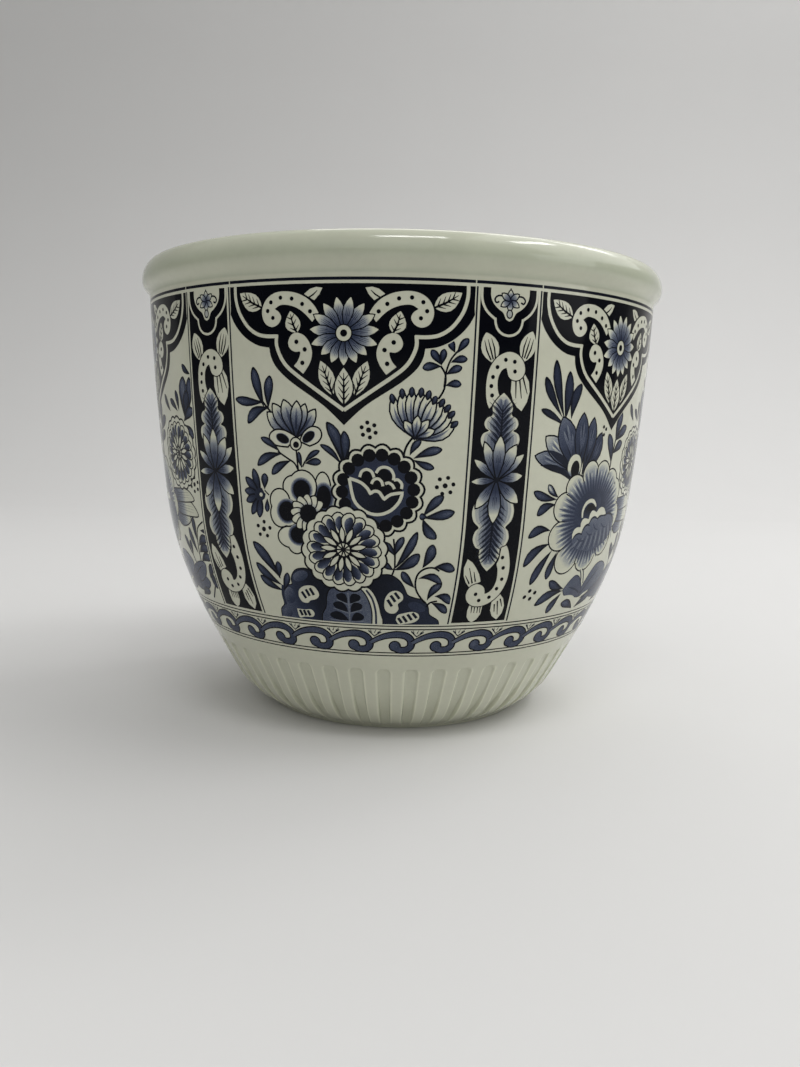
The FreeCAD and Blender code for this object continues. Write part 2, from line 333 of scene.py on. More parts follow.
def flute_floor():
    """The circle on which the floor of a flute runs in a section, as its centre and radius."""
    wall = wall_spots()
    edge, heel, top = wall[0], wall[WALL_STEPS[4]], wall[WALL_STEPS[4] + WALL_STEPS[3]]
    deep, shallow = sizes().flute_depth / MM, sizes().flute_edge_depth / MM
    (ax, az, _), (bx, bz, _), (cx, cz, _) = beside([edge], -shallow) + beside([heel, top], -deep)
    twice = 2 * (ax * (bz - cz) + bx * (cz - az) + cx * (az - bz))
    squares = [x * x + z * z for x, z in ((ax, az), (bx, bz), (cx, cz))]
    x = (squares[0] * (bz - cz) + squares[1] * (cz - az) + squares[2] * (az - bz)) / twice
    z = (squares[0] * (cx - bx) + squares[1] * (ax - cx) + squares[2] * (bx - ax)) / twice
    return (x, z), dist((x, z), (ax, az))


def flute_depths(spots, angles):
    """How deep the flutes are at each spot and angle, in millimetres and as a share of their floor, and
    where a highlight is painted along their edges. Their upper ends are round, and they fade out towards
    the bottom edge."""
    centre, reach = flute_floor()
    top = WALL_SHARES[2][1] * POT_HEIGHT
    depth = []
    width = []
    for radius, height, lean in spots:
        way = (cos(radians(lean)), -sin(radians(lean)))
        out = (radius - centre[0], height - centre[1])
        along = out[0] * way[0] + out[1] * way[1]
        gap = along * along - (out[0] ** 2 + out[1] ** 2) + reach * reach
        faded = min(1.0, max(0.0, (height - EDGE_HEIGHT) / FLUTE_FADE))
        depth.append((along - sqrt(max(gap, 0.0))) * faded * FLUTE_FILL if height < top else 0.0)
        down = min(1.0, max(0.0, (top - height) / FLUTE_ROUND))
        width.append(sqrt(1 - (1 - down) ** 2))
    depth, width = np.array(depth)[:, None], np.array(width)[:, None]
    pitch = 2 * pi / sizes().flute_count
    from_middle = np.abs((angles / pitch + 0.5) % 1.0 - 0.5)[None, :]
    share = np.clip((FLUTE_HALF * width - from_middle) / FLUTE_SIDE, 0, 1)
    share = share * share * (3 - 2 * share) * (depth > 0)
    # A painted highlight just outside each flute's side, shown where the flute is deep enough
    beyond = (from_middle - FLUTE_HALF * width - FLUTE_HIGHLIGHT / 3) / FLUTE_HIGHLIGHT
    return depth * share, share, np.exp(-beyond ** 2) * np.clip(depth / FLUTE_HIGHLIGHT_FROM, 0, 1) * width


def rim_painted_shade(lean):
    """How much painted shade darkens the glaze on the rim, from the lean there: most on its upright face."""
    upright = max(0.0, cos(radians(2 * lean)))
    return RIM_PAINTED_SHADE * cos(radians(lean)) + RIM_SHADE_BAND * upright ** 3


def link(name, mesh):
    """A new object in the scene."""
    piece = bpy.data.objects.new(name, mesh)
    bpy.context.scene.collection.objects.link(piece)
    return piece


def swept(name, points, along, turned):
    """The mesh of a closed section swept round the axis, with its map. The points are given for each
    spot and angle, with the shares of the section's length and of the whole turn at which they lie."""
    rows, turns = points.shape[:2]
    row, turn = np.meshgrid(np.arange(rows), np.arange(turns), indexing="ij")
    next_row, next_turn = (row + 1) % rows, (turn + 1) % turns
    corners = [row * turns + turn, row * turns + next_turn, next_row * turns + next_turn,
               next_row * turns + turn]
    quads = np.stack(corners, axis=2).reshape(-1, 4)
    mesh = bpy.data.meshes.new(name)
    mesh.from_pydata(points.reshape(-1, 3).tolist(), [], quads.tolist())
    u = np.stack([turned[turn], turned[turn + 1], turned[turn + 1], turned[turn]], axis=2)
    v = np.stack([along[row], along[row], along[row + 1], along[row + 1]], axis=2)
    baked = mesh.uv_layers.new(name="OFBake")
    baked.data.foreach_set("uv", np.stack([u, v], axis=3).reshape(-1))
    return mesh


def revolve(name, front, thickness, angles, flutes=None, pooled_and_shaded=None):
    """A closed coat: a section's visible side, its back that much deeper, swept round the axis.
    It keeps a share of darker glaze colour for each spot, for pooled glaze and painted shade, and where a
    highlight is painted along a flute's edge."""
    back = front[::BACK_STEP]
    if front[-1] not in back:
        back.append(front[-1])
    spots = np.array(front + backwards(beside(back, -thickness)))
    lean = np.radians(spots[:, 2])
    lean[len(front):] += pi
    sunk, thick, ridge = np.zeros((3, len(spots), len(angles)))
    if flutes is not None:
        depths, share, ridge[:len(front)] = flutes
        sunk[:len(front)] = depths
        kept = [front.index(spot) for spot in back]
        sunk[len(front):] = depths[kept][::-1]
        # Share of darker glaze colour: painted shade on the rim, pooled glaze and painted shade in the flutes
        thick[:len(front)] = np.array(pooled_and_shaded)[:, None] + share * FLUTE_POOL_AND_SHADE
    radius = spots[:, 0, None] - sunk * np.cos(lean)[:, None]
    height = spots[:, 1, None] + sunk * np.sin(lean)[:, None]
    points = np.stack([radius * np.cos(angles), radius * np.sin(angles), height], axis=2) * MM
    steps = np.hypot(*np.diff(spots[:, :2], axis=0, append=spots[:1, :2]).T)
    along = np.concatenate([[0], np.cumsum(steps)]) / steps.sum()
    turned = np.append(angles - angles[0], 2 * pi) / (2 * pi)
    mesh = swept(name, points, along, turned)
    for attribute, value in (("thick", thick), ("ridge", ridge)):
        mesh.attributes.new(attribute, "FLOAT", "POINT").data.foreach_set("value", value.reshape(-1))
    join_poles(mesh)
    mesh.shade_smooth()
    mesh.set_sharp_from_angle(angle=SHARP_ANGLE)
    return link(name, mesh)


def join_poles(mesh):
    """Merges the points that a sweep leaves on the axis."""
    work = bmesh.new()
    work.from_mesh(mesh)
    on_axis = [vert for vert in work.verts if hypot(vert.co.x, vert.co.y) < 1e-7]
    bmesh.ops.remove_doubles(work, verts=on_axis, dist=1e-7)
    work.to_mesh(mesh)
    work.free()


# Drawing: outlines on a flat sheet, in millimetres across and up from the middle of the sheet


def ahead(start, end, along, aside=0.0):
    """A point that share of the way from start to end, and that far to the left of it."""
    run, rise = end[0] - start[0], end[1] - start[1]
    length = hypot(run, rise)
    return (start[0] + run * along - rise / length * aside, start[1] + rise * along + run / length * aside)


def polar(centre, radius, angle):
    """A point at that distance and angle, in degrees, from a centre."""
    return (centre[0] + radius * cos(radians(angle)), centre[1] + radius * sin(radians(angle)))


def area(outline):
    """The area inside an outline, below zero where it runs clockwise."""
    pairs = zip(outline, outline[1:] + outline[:1])
    return sum(a[0] * b[1] - b[0] * a[1] for a, b in pairs) / 2


def grown(outline, margin):
    """The outline, moved outward by a margin."""
    if area(outline) < 0:
        outline = outline[::-1]
    made = []
    for before, here, after in zip(outline[-1:] + outline[:-1], outline, outline[1:] + outline[:1]):
        ways = []
        for a, b in ((before, here), (here, after)):
            length = hypot(b[0] - a[0], b[1] - a[1]) or 1.0
            ways.append(((b[1] - a[1]) / length, (a[0] - b[0]) / length))
        out, up = ways[0][0] + ways[1][0], ways[0][1] + ways[1][1]
        size = max(hypot(out, up), SHARPEST_CORNER)
        reach = margin * 2 / (size * size) if size < 2 else margin / 2
        made.append((here[0] + out * reach, here[1] + up * reach))
    return made


def curve(points, steps=4):
    """A smooth line through the points, in that many steps from each point to the next."""
    made = []
    held = [points[0]] + list(points) + [points[-1]]
    for a, b, c, d in zip(held, held[1:], held[2:], held[3:]):
        for step in range(steps):
            t = step / steps
            made.append(tuple(
                b[i] + t * (c[i] - a[i]) / 2
                + t * t * (a[i] - 2.5 * b[i] + 2 * c[i] - d[i] / 2)
                + t * t * t * (1.5 * (b[i] - c[i]) + (d[i] - a[i]) / 2)
                for i in (0, 1)
            ))
    return made + [tuple(points[-1])]


def closed(points, steps=4):
    """A smooth outline through the points and back to the first."""
    return curve(points + points[:1], steps)[:-1]


def block(half, low, high):
    """A rectangle about the middle line."""
    return [(-half, low), (half, low), (half, high), (-half, high)]


def oval(centre, wide, high, lean=0.0, steps=24):
    """An ellipse, wide along a direction that leans by that angle."""
    way = polar((0, 0), 1.0, lean)
    made = []
    for step in range(steps):
        x, y = polar((0, 0), 1.0, 360 * step / steps)
        x, y = x * wide / 2, y * high / 2
        made.append((centre[0] + x * way[0] - y * way[1], centre[1] + x * way[1] + y * way[0]))
    return made


def blade(base, tip, width, bend=0.0, belly=0.6, fullness=0.8, steps=9):
    """The outline of a leaf or petal: from its base up one side, round its tip and back."""
    power = log(0.5) / log(belly)
    sides = ([], [])
    for step in range(steps + 1):
        along = (1 - cos(pi * step / steps)) / 2
        half = width / 2 * max(0.0, sin(pi * along ** power)) ** fullness
        middle = bend * 4 * along * (1 - along)
        for side, way in zip(sides, (-1, 1)):
            side.append(ahead(base, tip, along, middle + way * half))
    return sides[0] + sides[1][-2:0:-1]


def ribbon(points, width, start=1.0, end=1.0):
    """The four-sided spans of a line with that width, which may taper at its ends."""
    sides = []
    for number, here in enumerate(points):
        before = points[max(number - 1, 0)]
        after = points[min(number + 1, len(points) - 1)]
        length = hypot(after[0] - before[0], after[1] - before[1]) or 1.0
        aside = ((before[1] - after[1]) / length, (after[0] - before[0]) / length)
        along = number / (len(points) - 1)
        share = min(1.0, start + (1 - start) * along * 3, end + (1 - end) * (1 - along) * 3)
        half = width / 2 * max(share, 0.08)
        sides.append([(here[0] + way * half * aside[0], here[1] + way * half * aside[1]) for way in (-1, 1)])
    return [[a[0], b[0], b[1], a[1]] for a, b in zip(sides, sides[1:])]


def across(start, end, first, last):
    """An ink whose tone changes evenly from start to end."""
    way = (end[0] - start[0], end[1] - start[1])
    size = way[0] ** 2 + way[1] ** 2

    def tone(point):
        share = ((point[0] - start[0]) * way[0] + (point[1] - start[1]) * way[1]) / size
        return first + (last - first) * min(1.0, max(0.0, share))
    return tone


def around(centre, inner, outer, first, last):
    """An ink whose tone changes evenly from one radius to another."""
    def tone(point):
        share = (dist(point, centre) - inner) / (outer - inner)
        return first + (last - first) * min(1.0, max(0.0, share))
    return tone


class Sheet:
    """One sheet of the print, laid flat. Shapes lie on each other in the order of drawing."""

    def __init__(self, outline):
        self.flip = 1
        self.shapes = []
        self.fill(outline, BARE)

    def fill(self, outline, tone):
        """A shape of one tone, or of a tone that a function gives at each point."""
        flip = self.flip
        laid = [(flip * x, z) for x, z in outline]
        if area(laid) < 0:
            laid.reverse()
        if callable(tone) and flip < 0:
            self.shapes.append((laid, lambda point: tone((-point[0], point[1]))))
        else:
            self.shapes.append((laid, tone))

    def dot(self, centre, radius, tone=INK):
        """A small round spot."""
        self.fill(oval(centre, 2 * radius, 2 * radius, steps=10), tone)

    def line(self, points, width=LINE, tone=INK, start=1.0, end=1.0):
        """A line through the points, which may taper at its ends."""
        pen = 1.0 if tone is BARE else PEN
        for span in ribbon(points, width * pen, start, end):
            self.fill(span, tone)

    def smooth(self, points, width=LINE, tone=INK, start=1.0, end=1.0, steps=4):
        """A smooth line through the points."""
        self.line(curve(points, steps), width, tone, start, end)

    def slashes(self, spans, width, tone=INK, end=1.0):
        """Short straight strokes, each given as its two ends."""
        for span in spans:
            self.line(list(span), width, tone, 1.0, end)

    def edged(self, outline, tone, width=FINE, edge=INK):
        """A shape with a drawn edge round it."""
        self.fill(grown(outline, width * PEN), edge)
        self.fill(outline, tone)


# The ornament


def white_leaf(sheet, base, tip, width, veins=3, bend=0, belly=0.45):
    """A leaf left white on a dark ground, with drawn veins."""
    sheet.fill(blade(base, tip, width, bend, belly, 0.9), BARE)
    rib = [ahead(base, tip, share, bend * 4 * share * (1 - share)) for share in (0, 0.4, 0.86)]
    sheet.line(rib, 0.56, end=0.3)
    for number in range(veins + 1):
        share = 0.1 + 0.54 * number / veins
        for side in (-1, 1):
            middle = bend * 4 * share * (1 - share)
            start = ahead(base, tip, share, middle)
            sheet.line([start, ahead(base, tip, share + 0.2, middle + side * width * 0.3)], 0.44, end=0.3)


def lambrequin_edge():
    """The right half of the lambrequin's lower edge, from its upper corner to its tip."""
    shoulder = [(43.4, 157.8), (41.5, 154.5), (38.5, 151.2), (35, 148.7), (31, 147), (27, 146.4)]
    lobe = [(27, 146.4), (26.3, 143.2), (24.3, 139.8), (20.6, 136.4), (16.5, 133.5), (9, 128.7), (5, 125.6),
            (0, 120.9)]
    return curve(shoulder, 4)[:-1] + curve(lobe, 4)


def both_sides(half):
    """A closed outline from the right half of a shape, whose ends lie on the middle line."""
    return half + [(-x, z) for x, z in reversed(half) if x > 1e-6]


def dotted(sheet, spots, radius):
    """A row of dots."""
    for spot in spots:
        sheet.dot(spot, radius)


def lambrequin_scrolls(sheet):
    """The big C scroll with its leaves, and the comma below it, on one side."""
    outer = [(8.6, 157.6), (10.2, 160), (12.6, 162.2), (16.2, 163.9), (20.2, 164.6), (24.2, 164.3),
             (27.5, 162.6), (29.4, 159.7), (29.6, 156.8), (28.3, 154.2), (25.8, 153.1), (23.4, 154),
             (22.2, 156), (22.9, 157.8), (24.6, 159)]
    inner = [(24.6, 159), (22.4, 160.2), (19.3, 160.1), (16.2, 159.1), (13.5, 157.3), (10.8, 154.6)]
    sheet.fill(curve(outer, 4) + curve(inner, 4)[1:], BARE)
    dotted(sheet, [(25.4, 156.1), (27.4, 158.4), (26.1, 161.2), (22.4, 162.6), (18.2, 162.2), (14.4, 160.4),
                   (11.6, 158)], 0.72)
    white_leaf(sheet, (29.9, 159.6), (38.9, 164.6), 6, 3, -0.4, 0.42)
    sheet.fill([(13.7, 163.6), (11.6, 165.2), (9.4, 165.8), (7.2, 165.5), (8.3, 163.4), (10.1, 161.5)], BARE)
    sheet.line([(12.1, 162.4), (10.4, 163.4), (9, 164.7)], 0.4, end=0.4)
    white_leaf(sheet, (16.4, 151.2), (18.8, 158.2), 5.6, 2, -0.5, 0.42)
    head = [(16.1, 151.2), (14, 150.4), (12.3, 148.6), (11.2, 146.2), (11, 143.6), (12.1, 140.6),
            (14.2, 137.7)]
    tail = [(17.6, 140.3), (16, 142.2), (15.2, 144.9), (17.1, 144.9), (18.9, 145.9), (19.7, 147.9),
            (18.8, 150.1), (17.4, 151.1)]
    sheet.fill(curve(head, 3) + curve(tail, 3), BARE)
    dotted(sheet, [(16.6, 148.2), (13.6, 145.7), (14.5, 141.3)], 0.78)


def daisy(sheet, centre):
    """The flower in the middle of the lambrequin."""
    for number in range(15):
        angle = 102 + 24 * number
        tip = polar(centre, 11.7 if sin(radians(angle)) > -0.5 else 10.4, angle)
        base = polar(centre, 1.5, angle)
        sheet.edged(blade(base, tip, 3.3, 0, 0.58, 0.85, 8), across(base, tip, 0.24, 1.16), 0.3)
        for aside, low, high in ((0, 0.2, 0.74), (-0.55, 0.4, 0.66), (0.55, 0.4, 0.7)):
            sheet.line([ahead(base, tip, low, aside), ahead(base, tip, high, aside)], 0.26, 0.34, 1, 0.2)
    sheet.edged(oval(centre, 5.1, 5.1), BARE, 0.35)
    sheet.dot(centre, 1.2)


def draw_lambrequin():
    """The scalloped pendant under the rim: a dark ground with scrolls, a daisy and leaves."""
    edge = lambrequin_edge()
    upper = [(side_of_panel(z), z) for z in (PRINT_TOP, 166, 163, 160)]
    sheet = Sheet(both_sides(upper + edge))
    ground = [(48, GROUND_TOP), (48, 158.5)] + edge
    sheet.fill(both_sides(ground), INK)
    sheet.fill(block(60, RIM_LINE_LOW, RIM_LINE_HIGH), 0.06)
    for sheet.flip in (1, -1):
        line = [(41, 167.2), (40.9, 163.3), (39.8, 159.3), (37.8, 155.9), (35.2, 153), (31.7, 150.9),
                (28, 150.15), (23.6, 150.1)]
        lobe = [(24, 150.6), (24.1, 147.2), (22.6, 143.3), (20.2, 140.1), (16.2, 137), (10.5, 133.1),
                (4.8, 129.2), (0, 125.9)]
        sheet.smooth(line, 1.25, BARE)
        sheet.smooth(lobe, 1.3, BARE)
        lambrequin_scrolls(sheet)
        white_leaf(sheet, (3.7, 130.6), (8, 142), 5.4, 3, 0, 0.5)
    sheet.flip = 1
    sheet.edged(blade((0, 127.9), (0, 139.8), 6.2, 0, 0.45, 0.9), BARE, 0.4)
    white_leaf(sheet, (0, 127.9), (0, 139.8), 6.2, 3, 0, 0.45)
    daisy(sheet, (0, 151))
    return sheet


def feather(sheet, axis, tip, lobes, root, chevrons):
    """A white leaf with lobed edges, shaded blue along its rib, with slanting strokes."""
    half = curve([(axis, tip)] + [(axis + out, z) for out, z in lobes], 3)
    outline = half + [(axis, root)] + [(2 * axis - x, z) for x, z in half[:0:-1]]
    sheet.fill(grown(outline, 0.4), INK)
    sheet.fill(outline, BARE)
    way = 1 if tip > root else -1
    for side in (1, -1):
        for scale in (0.86, 0.7, 0.52, 0.34):
            spots = [(axis + side * out * scale, z - way * 0.8 * (1 - scale)) for out, z in lobes]
            top = (axis, tip - way * (1 - scale) * 9)
            inner = curve([top] + spots, 3) + [(axis, root)]
            sheet.fill(inner, across((axis, tip), (axis, root), 0.36 + 0.68 * scale, 0.26 + 0.7 * scale))
    low, high, count = chevrons
    for number in range(2 * count - 1):
        z = low + (high - low) * number / (2 * count - 2)
        for side in (1, -1):
            reach = 1 if number % 2 else 0.8
            path = [(axis, z), (axis + side * 2.2 * reach, z + way * 2.2),
                    (axis + side * 5.2 * reach, z + way * 4.4)]
            sheet.line(path, 0.42, 0.14, 1, 0.1)
    sheet.line([(axis, tip - way * 4), (axis, (tip + root) / 2), (axis, root)], 0.75, 0.08, 0.3)


def star_flower(sheet, centre, petals):
    """The flower of narrow petals in the middle of a pilaster."""
    for tip, width in petals:
        shape = blade(centre, tip, width, 0, 0.6, 0.8, 7)
        sheet.edged(shape, across(ahead(centre, tip, 0.2), tip, 0.32, 1.2), 0.4)
        for aside, low, high in ((0, 0.12, 0.66), (-0.6, 0.4, 0.62), (0.6, 0.4, 0.58)):
            sheet.line([ahead(centre, tip, low, aside), ahead(centre, tip, high, aside)], 0.34, 0.3, 1, 0.2)
    sheet.dot(centre, 1, 0.05)


def pilaster_shield(sheet):
    """The small white shield at the top, with a line flower on it, and the line that follows it."""
    line = [(10.2, 167.2), (10.1, 163.5), (9.3, 161), (7.8, 158.9), (5.6, 157.2), (4.9, 156.7)]
    lobe = [(5.1, 157.3), (4.8, 155.2), (3.8, 153.3), (2, 152.05), (0, 151.65)]
    shield = [(7.1, 166.9), (7, 164.2), (6, 161.9), (4.2, 160.2), (2.6, 159.2), (1.9, 158.2), (1.2, 156.9),
              (0, 156.3)]
    for sheet.flip in (1, -1):
        sheet.smooth(line, 0.85, BARE)
        sheet.smooth(lobe, 0.85, BARE)
        sheet.fill(curve(shield, 4) + [(0, 166.9)], BARE)
        sheet.smooth([(1.2, 163), (3, 164.4), (4.7, 164.3), (5.6, 163.2), (5, 162.2), (4, 162.6)], 0.48, 0.06)
    sheet.flip = 1
    centre = (0, 163)
    sheet.line([(0, 167), (0, 159.6)], 0.4, 0.15)
    for angle in (90, 35, -30, -90, -150, 145):
        tip = polar(centre, 3.6 if abs(angle) != 90 else 3.3, angle)
        sheet.edged(blade(centre, tip, 1.7, 0, 0.55, 0.8, 5), across(centre, tip, 0.4, 1.1), 0.34, 0.06)
    sheet.dot(centre, 0.45, 0.2)
    sheet.edged(oval((0, 158.7), 1.6, 2.2, steps=12), 0.9, 0.36, 0.06)


def dotted_scroll(sheet, outer, inner, spots):
    """A white scroll on the dark ground, with a row of dots along it."""
    outline = curve(outer, 3) + curve(inner, 3)
    sheet.fill(grown(outline, 0.35), INK)
    sheet.fill(outline, BARE)
    dotted(sheet, spots, 0.72)


def pilaster_scroll(sheet):
    """The dotted scroll under the shield, with its three leaves."""
    for base, tip, width in (((-4.6, 142.6), (-8, 152.4), 6.4), ((6.2, 143.4), (9.2, 153.6), 6.2)):
        sheet.fill(blade(base, tip, width, 0, 0.5, 0.75), BARE)
        for share in (-0.28, 0, 0.28):
            places = ((0.12, 3), (0.45, 5), (0.78, 4.5))
            sheet.line([ahead(base, tip, along, share * aside) for along, aside in places], 0.42, end=0.3)
    sheet.fill([(2.3, 137.6), (2.2, 133.4), (3.2, 130.4), (5, 128.2), (6.9, 126.9), (8.8, 130), (9.6, 133.5),
                (9, 137), (7.2, 139.4)], BARE)
    strokes = [((3.9, 137.4), (4.3, 131.2)), ((5.3, 137.6), (6.5, 131.2)), ((6.6, 138.2), (8.7, 132.7))]
    sheet.slashes(strokes, 0.5, end=0.4)
    outer = [(-5.3, 127.5), (-6.3, 129.6), (-6.9, 133), (-6.9, 137), (-6.2, 140.4), (-4.5, 143.5),
             (-2, 145.6), (1, 146.5), (4, 145.7), (6.4, 143.4), (7.2, 140.6), (6.4, 138.4), (4.5, 137.2),
             (2.5, 137.3), (1.1, 138.3), (0.4, 140.1)]
    inner = [(0, 141.2), (-1.5, 140.4), (-2.6, 138.4), (-2.9, 136), (-2.6, 133.6), (-1.9, 131.8)]
    dots = [(-0.4, 143.8), (3, 143.3), (3.3, 140.1), (-3.3, 141.3), (-4.7, 138), (-5.1, 135), (-4.6, 131.9)]
    dotted_scroll(sheet, outer, inner, dots)


def pilaster_foot(sheet):
    """The dotted scroll at the bottom, with its three leaves."""
    sheet.fill([(-8.6, 75.3), (-6.6, 74), (-5, 72), (-3.4, 69.4), (-2.5, 66.8), (-6.6, 64.8), (-8.1, 66.6),
                (-9.2, 69), (-9.6, 72)], BARE)
    strokes = [((-4.5, 66.8), (-5.6, 70.5)), ((-5.6, 66.2), (-7.5, 72)), ((-6.7, 66), (-8.6, 69.2))]
    sheet.slashes(strokes, 0.45, end=0.4)
    sheet.fill([(-5, 58), (-5.5, 55.6), (-5.2, 53), (-4.3, 51.6), (-2.9, 50.7), (-1.2, 51.8), (0, 54),
                (0.1, 57.4)], BARE)
    sheet.slashes([((x, 57.2), (x + 0.15, 54.4)) for x in (-4, -2.9, -1.7, -0.7)], 0.42, end=0.4)
    sheet.fill([(3.5, 58.6), (3.6, 55.2), (4.8, 52.8), (7.1, 51.2), (8.8, 53.7), (9.1, 56.6), (8, 59.7),
                (6.4, 61.4)], BARE)
    strokes = [((4.8, 57.6), (5.4, 54.4)), ((5.8, 58.8), (7, 53.2)), ((6.8, 59.6), (8.2, 56.4))]
    sheet.slashes(strokes, 0.48, end=0.4)
    outer = [(5.7, 79.9), (6.5, 78.5), (7.5, 75.5), (8.2, 71.5), (8.1, 67.5), (7.2, 64), (5.4, 60.8),
             (2.7, 58.4), (-0.3, 57.2), (-3.3, 57.2), (-5.6, 58.4), (-7, 60.5), (-7.1, 62.8), (-6.1, 64.8),
             (-4, 65.8), (-1.9, 65.3), (-0.5, 63.9), (-0.1, 62)]
    inner = [(0.5, 62), (1.6, 62.6), (2.9, 64.2), (3.6, 66.5), (3.7, 69), (3.3, 71.5), (2.7, 73.2),
             (3.4, 75), (3.7, 79.2)]
    dots = [(4.7, 75.5), (5.6, 71.6), (5.8, 67.3), (4.4, 63.7), (2, 60.5), (-1.8, 59.4), (-3.5, 61.9)]
    dotted_scroll(sheet, outer, inner, dots)


def draw_pilaster():
    """The upright strip between two panels."""
    sheet = Sheet(block(STRIP_HALF, 50.3, PRINT_TOP))
    sheet.fill(block(STRIP_HALF + 0.9, RIM_LINE_LOW, RIM_LINE_HIGH), 0.06)
    inner, outer = STRIP_HALF - 0.62, STRIP_HALF + 1
    for sheet.flip in (1, -1):
        sheet.fill([(inner, 50), (outer, 50), (outer, 167), (inner, 167)], 0.08)
    sheet.flip = 1
    sheet.fill(block(STRIP_HALF - 1.45, 50.7, GROUND_TOP), INK)
    pilaster_shield(sheet)
    pilaster_scroll(sheet)
    upper = [(1.9, 131.2), (3.7, 128.6), (3.6, 126.2), (3.8, 125.2), (5.6, 124.3), (6.4, 122.6), (5.8, 121),
             (4.6, 120.1), (6.6, 119.1), (7.3, 117.2), (6.8, 115.2), (5.6, 113.5)]
    feather(sheet, -0.3, 132.9, upper, 104, (113.5, 126.5, 7))
    lower = [(2.3, 73), (3.9, 76.2), (3.9, 78.6), (5.6, 79.6), (6.9, 82.4), (6.3, 85.2), (5.1, 86.6),
             (7.2, 88.8), (8, 92.2), (7, 95.5), (5, 98)]
    feather(sheet, -0.8, 70.6, lower, 103, (97.5, 77, 11))
    pilaster_foot(sheet)
    star_flower(sheet, (-0.7, 103.2), [
        ((-9.8, 102.6), 2.3), ((9.2, 104.7), 3.2), ((-9.3, 110.2), 2.6), ((9.2, 112.1), 3.2),
        ((-7.6, 93.6), 3.6), ((8.3, 95.2), 4.2), ((-6, 116), 3.4), ((6, 115.2), 4.4), ((-0.8, 88.3), 4.4),
        ((-0.3, 118.2), 4.2),
    ])
    return sheet


def draw_border():
    """The running scroll between two pairs of lines."""
    half = BORDER_RADIUS * REPEAT_ANGLE / 2
    sheet = Sheet(block(half, BORDER_BOTTOM, BORDER_TOP))
    for z in BORDER_LINES:
        sheet.fill(block(half + 1, z - BORDER_LINE_HALF, z + BORDER_LINE_HALF), INK)
    pitch = 2 * half / WAVES
    for number in range(-1, WAVES + 1):
        wave(sheet, (-half + pitch * number + 0.4, 41.1))
    return sheet


def wave(sheet, curl):
    """One wave of the border with its curled end, and the small barb above its back."""
    x, z = curl
    path = curve([(x - 8.9, z + 1.4), (x - 6.2, z + 3.1), (x - 3, z + 4.4), (x + 0.8, z + 5),
                  (x + 3.9, z + 4.5), (x + 5.8, z + 2.8), (x + 6, z + 0.2), (x + 4.5, z - 1.3),
                  (x + 2.2, z - 1.5), (x + 0.6, z - 0.9)], 4)
    ball = oval((x + 0.1, z + 0.1), 3.6, 3.7)
    for span in ribbon(path, 3.1, 0.62):
        sheet.fill(span, INK)
    sheet.fill(grown(ball, 0.5), INK)
    for span in ribbon(path, 2.1, 0.5):
        sheet.fill(span, across((x - 9, z), (x + 6, z), 0.6, 0.44))
    sheet.fill(ball, around((x - 0.3, z + 0.5), 0, 2, 0.64, 0.44))
    sheet.line([(x - 9.4, z + 6.4), (x - 7.4, z + 4.2), (x - 4.9, z + 6)], 0.4, 0.1)
    for low, high in ((-8.4, -8.6), (-7.3, -6.7), (-6.2, -4.8)):
        sheet.line([(x + low, z + 5.5), (x + high, z + 6.8)], 0.34, 0.1, 1, 0.3)


def panel_sheet():
    """The empty sheet between two pilasters, below the lambrequin."""
    reach = PRINT_TOP - SIDE_REACH - PRINT_BOTTOM
    heights = [PRINT_BOTTOM + reach * share for share in evenly(8)]
    right = [(side_of_panel(height), height) for height in heights]
    edge = [(x, z - PRINT_JOINT) for x, z in lambrequin_edge()]
    left = [(-x, z) for x, z in reversed(right)]
    return Sheet(left + right + edge[1:-1] + [(-x, z) for x, z in reversed(edge[1:])])


def leaf(sheet, base, tip, width, bend=0, heart=0.5, belly=0.66):
    """A dark leaf with a lighter heart."""
    sheet.fill(blade(base, tip, width, bend, belly, 0.6), 0.05)
    low, high = ahead(base, tip, 0.2, bend * 0.64), ahead(base, tip, 0.94, bend * 0.22)
    sheet.fill(blade(low, high, width - 1.1, bend * 0.55, belly, 0.68), across(low, high, 0.2, heart * 0.9))
    low, high = ahead(base, tip, 0.38, bend * 0.94), ahead(base, tip, 0.88, bend * 0.42)
    sheet.fill(blade(low, high, (width - 1.1) * 0.5, bend * 0.3, 0.6),
               across(low, high, heart * 0.7, heart + 0.08))


def leaves(sheet, spots):
    """Dark leaves, each given as its base, tip, width and, where it needs them, bend, heart and belly."""
    for spot in spots:
        leaf(sheet, *spot)


def petal(sheet, base, tip, width, bend=0, root=0.3, end=0.95, belly=0.62):
    """A petal that is dark at its base and pale at its tip."""
    sheet.edged(blade(base, tip, width, bend, belly, 0.78), across(base, tip, root, end), 0.45, 0.04)
    low, high = ahead(base, tip, 0.2, bend * 0.64), ahead(base, tip, 0.84, bend * 0.54)
    sheet.fill(blade(low, high, width * 0.26, bend * 0.4, 0.5), across(low, high, root - 0.1, end * 0.7))


def scalloped(centre, radius, count, depth, turn=0, steps=6):
    """A round outline of bumps, whose crests lie on the radius."""
    made = []
    for number in range(count * steps):
        share = number / steps % 1
        angle = turn + 360 / count * (number / steps - 0.5)
        made.append(polar(centre, radius - depth * (1 - sin(pi * share)), angle))
    return made


def clustered(sheet, ovals, tone=BARE):
    """Ovals that grow together in one outlined shape."""
    for centre, wide, high in ovals:
        sheet.fill(oval(centre, wide + 1.1, high + 1.1), INK)
    for centre, wide, high in ovals:
        sheet.fill(oval(centre, wide, high), tone)


def dark_eye(sheet, centre, wide, high, halo=1, lean=0):
    """A dark spot that fades into its petal."""
    for share in (1, 0.66, 0.33):
        sheet.fill(oval(centre, wide + 2 * halo * share, high + 2 * halo * share, lean), 0.25 + 0.6 * share)
    sheet.fill(oval(centre, wide, high, lean), INK)


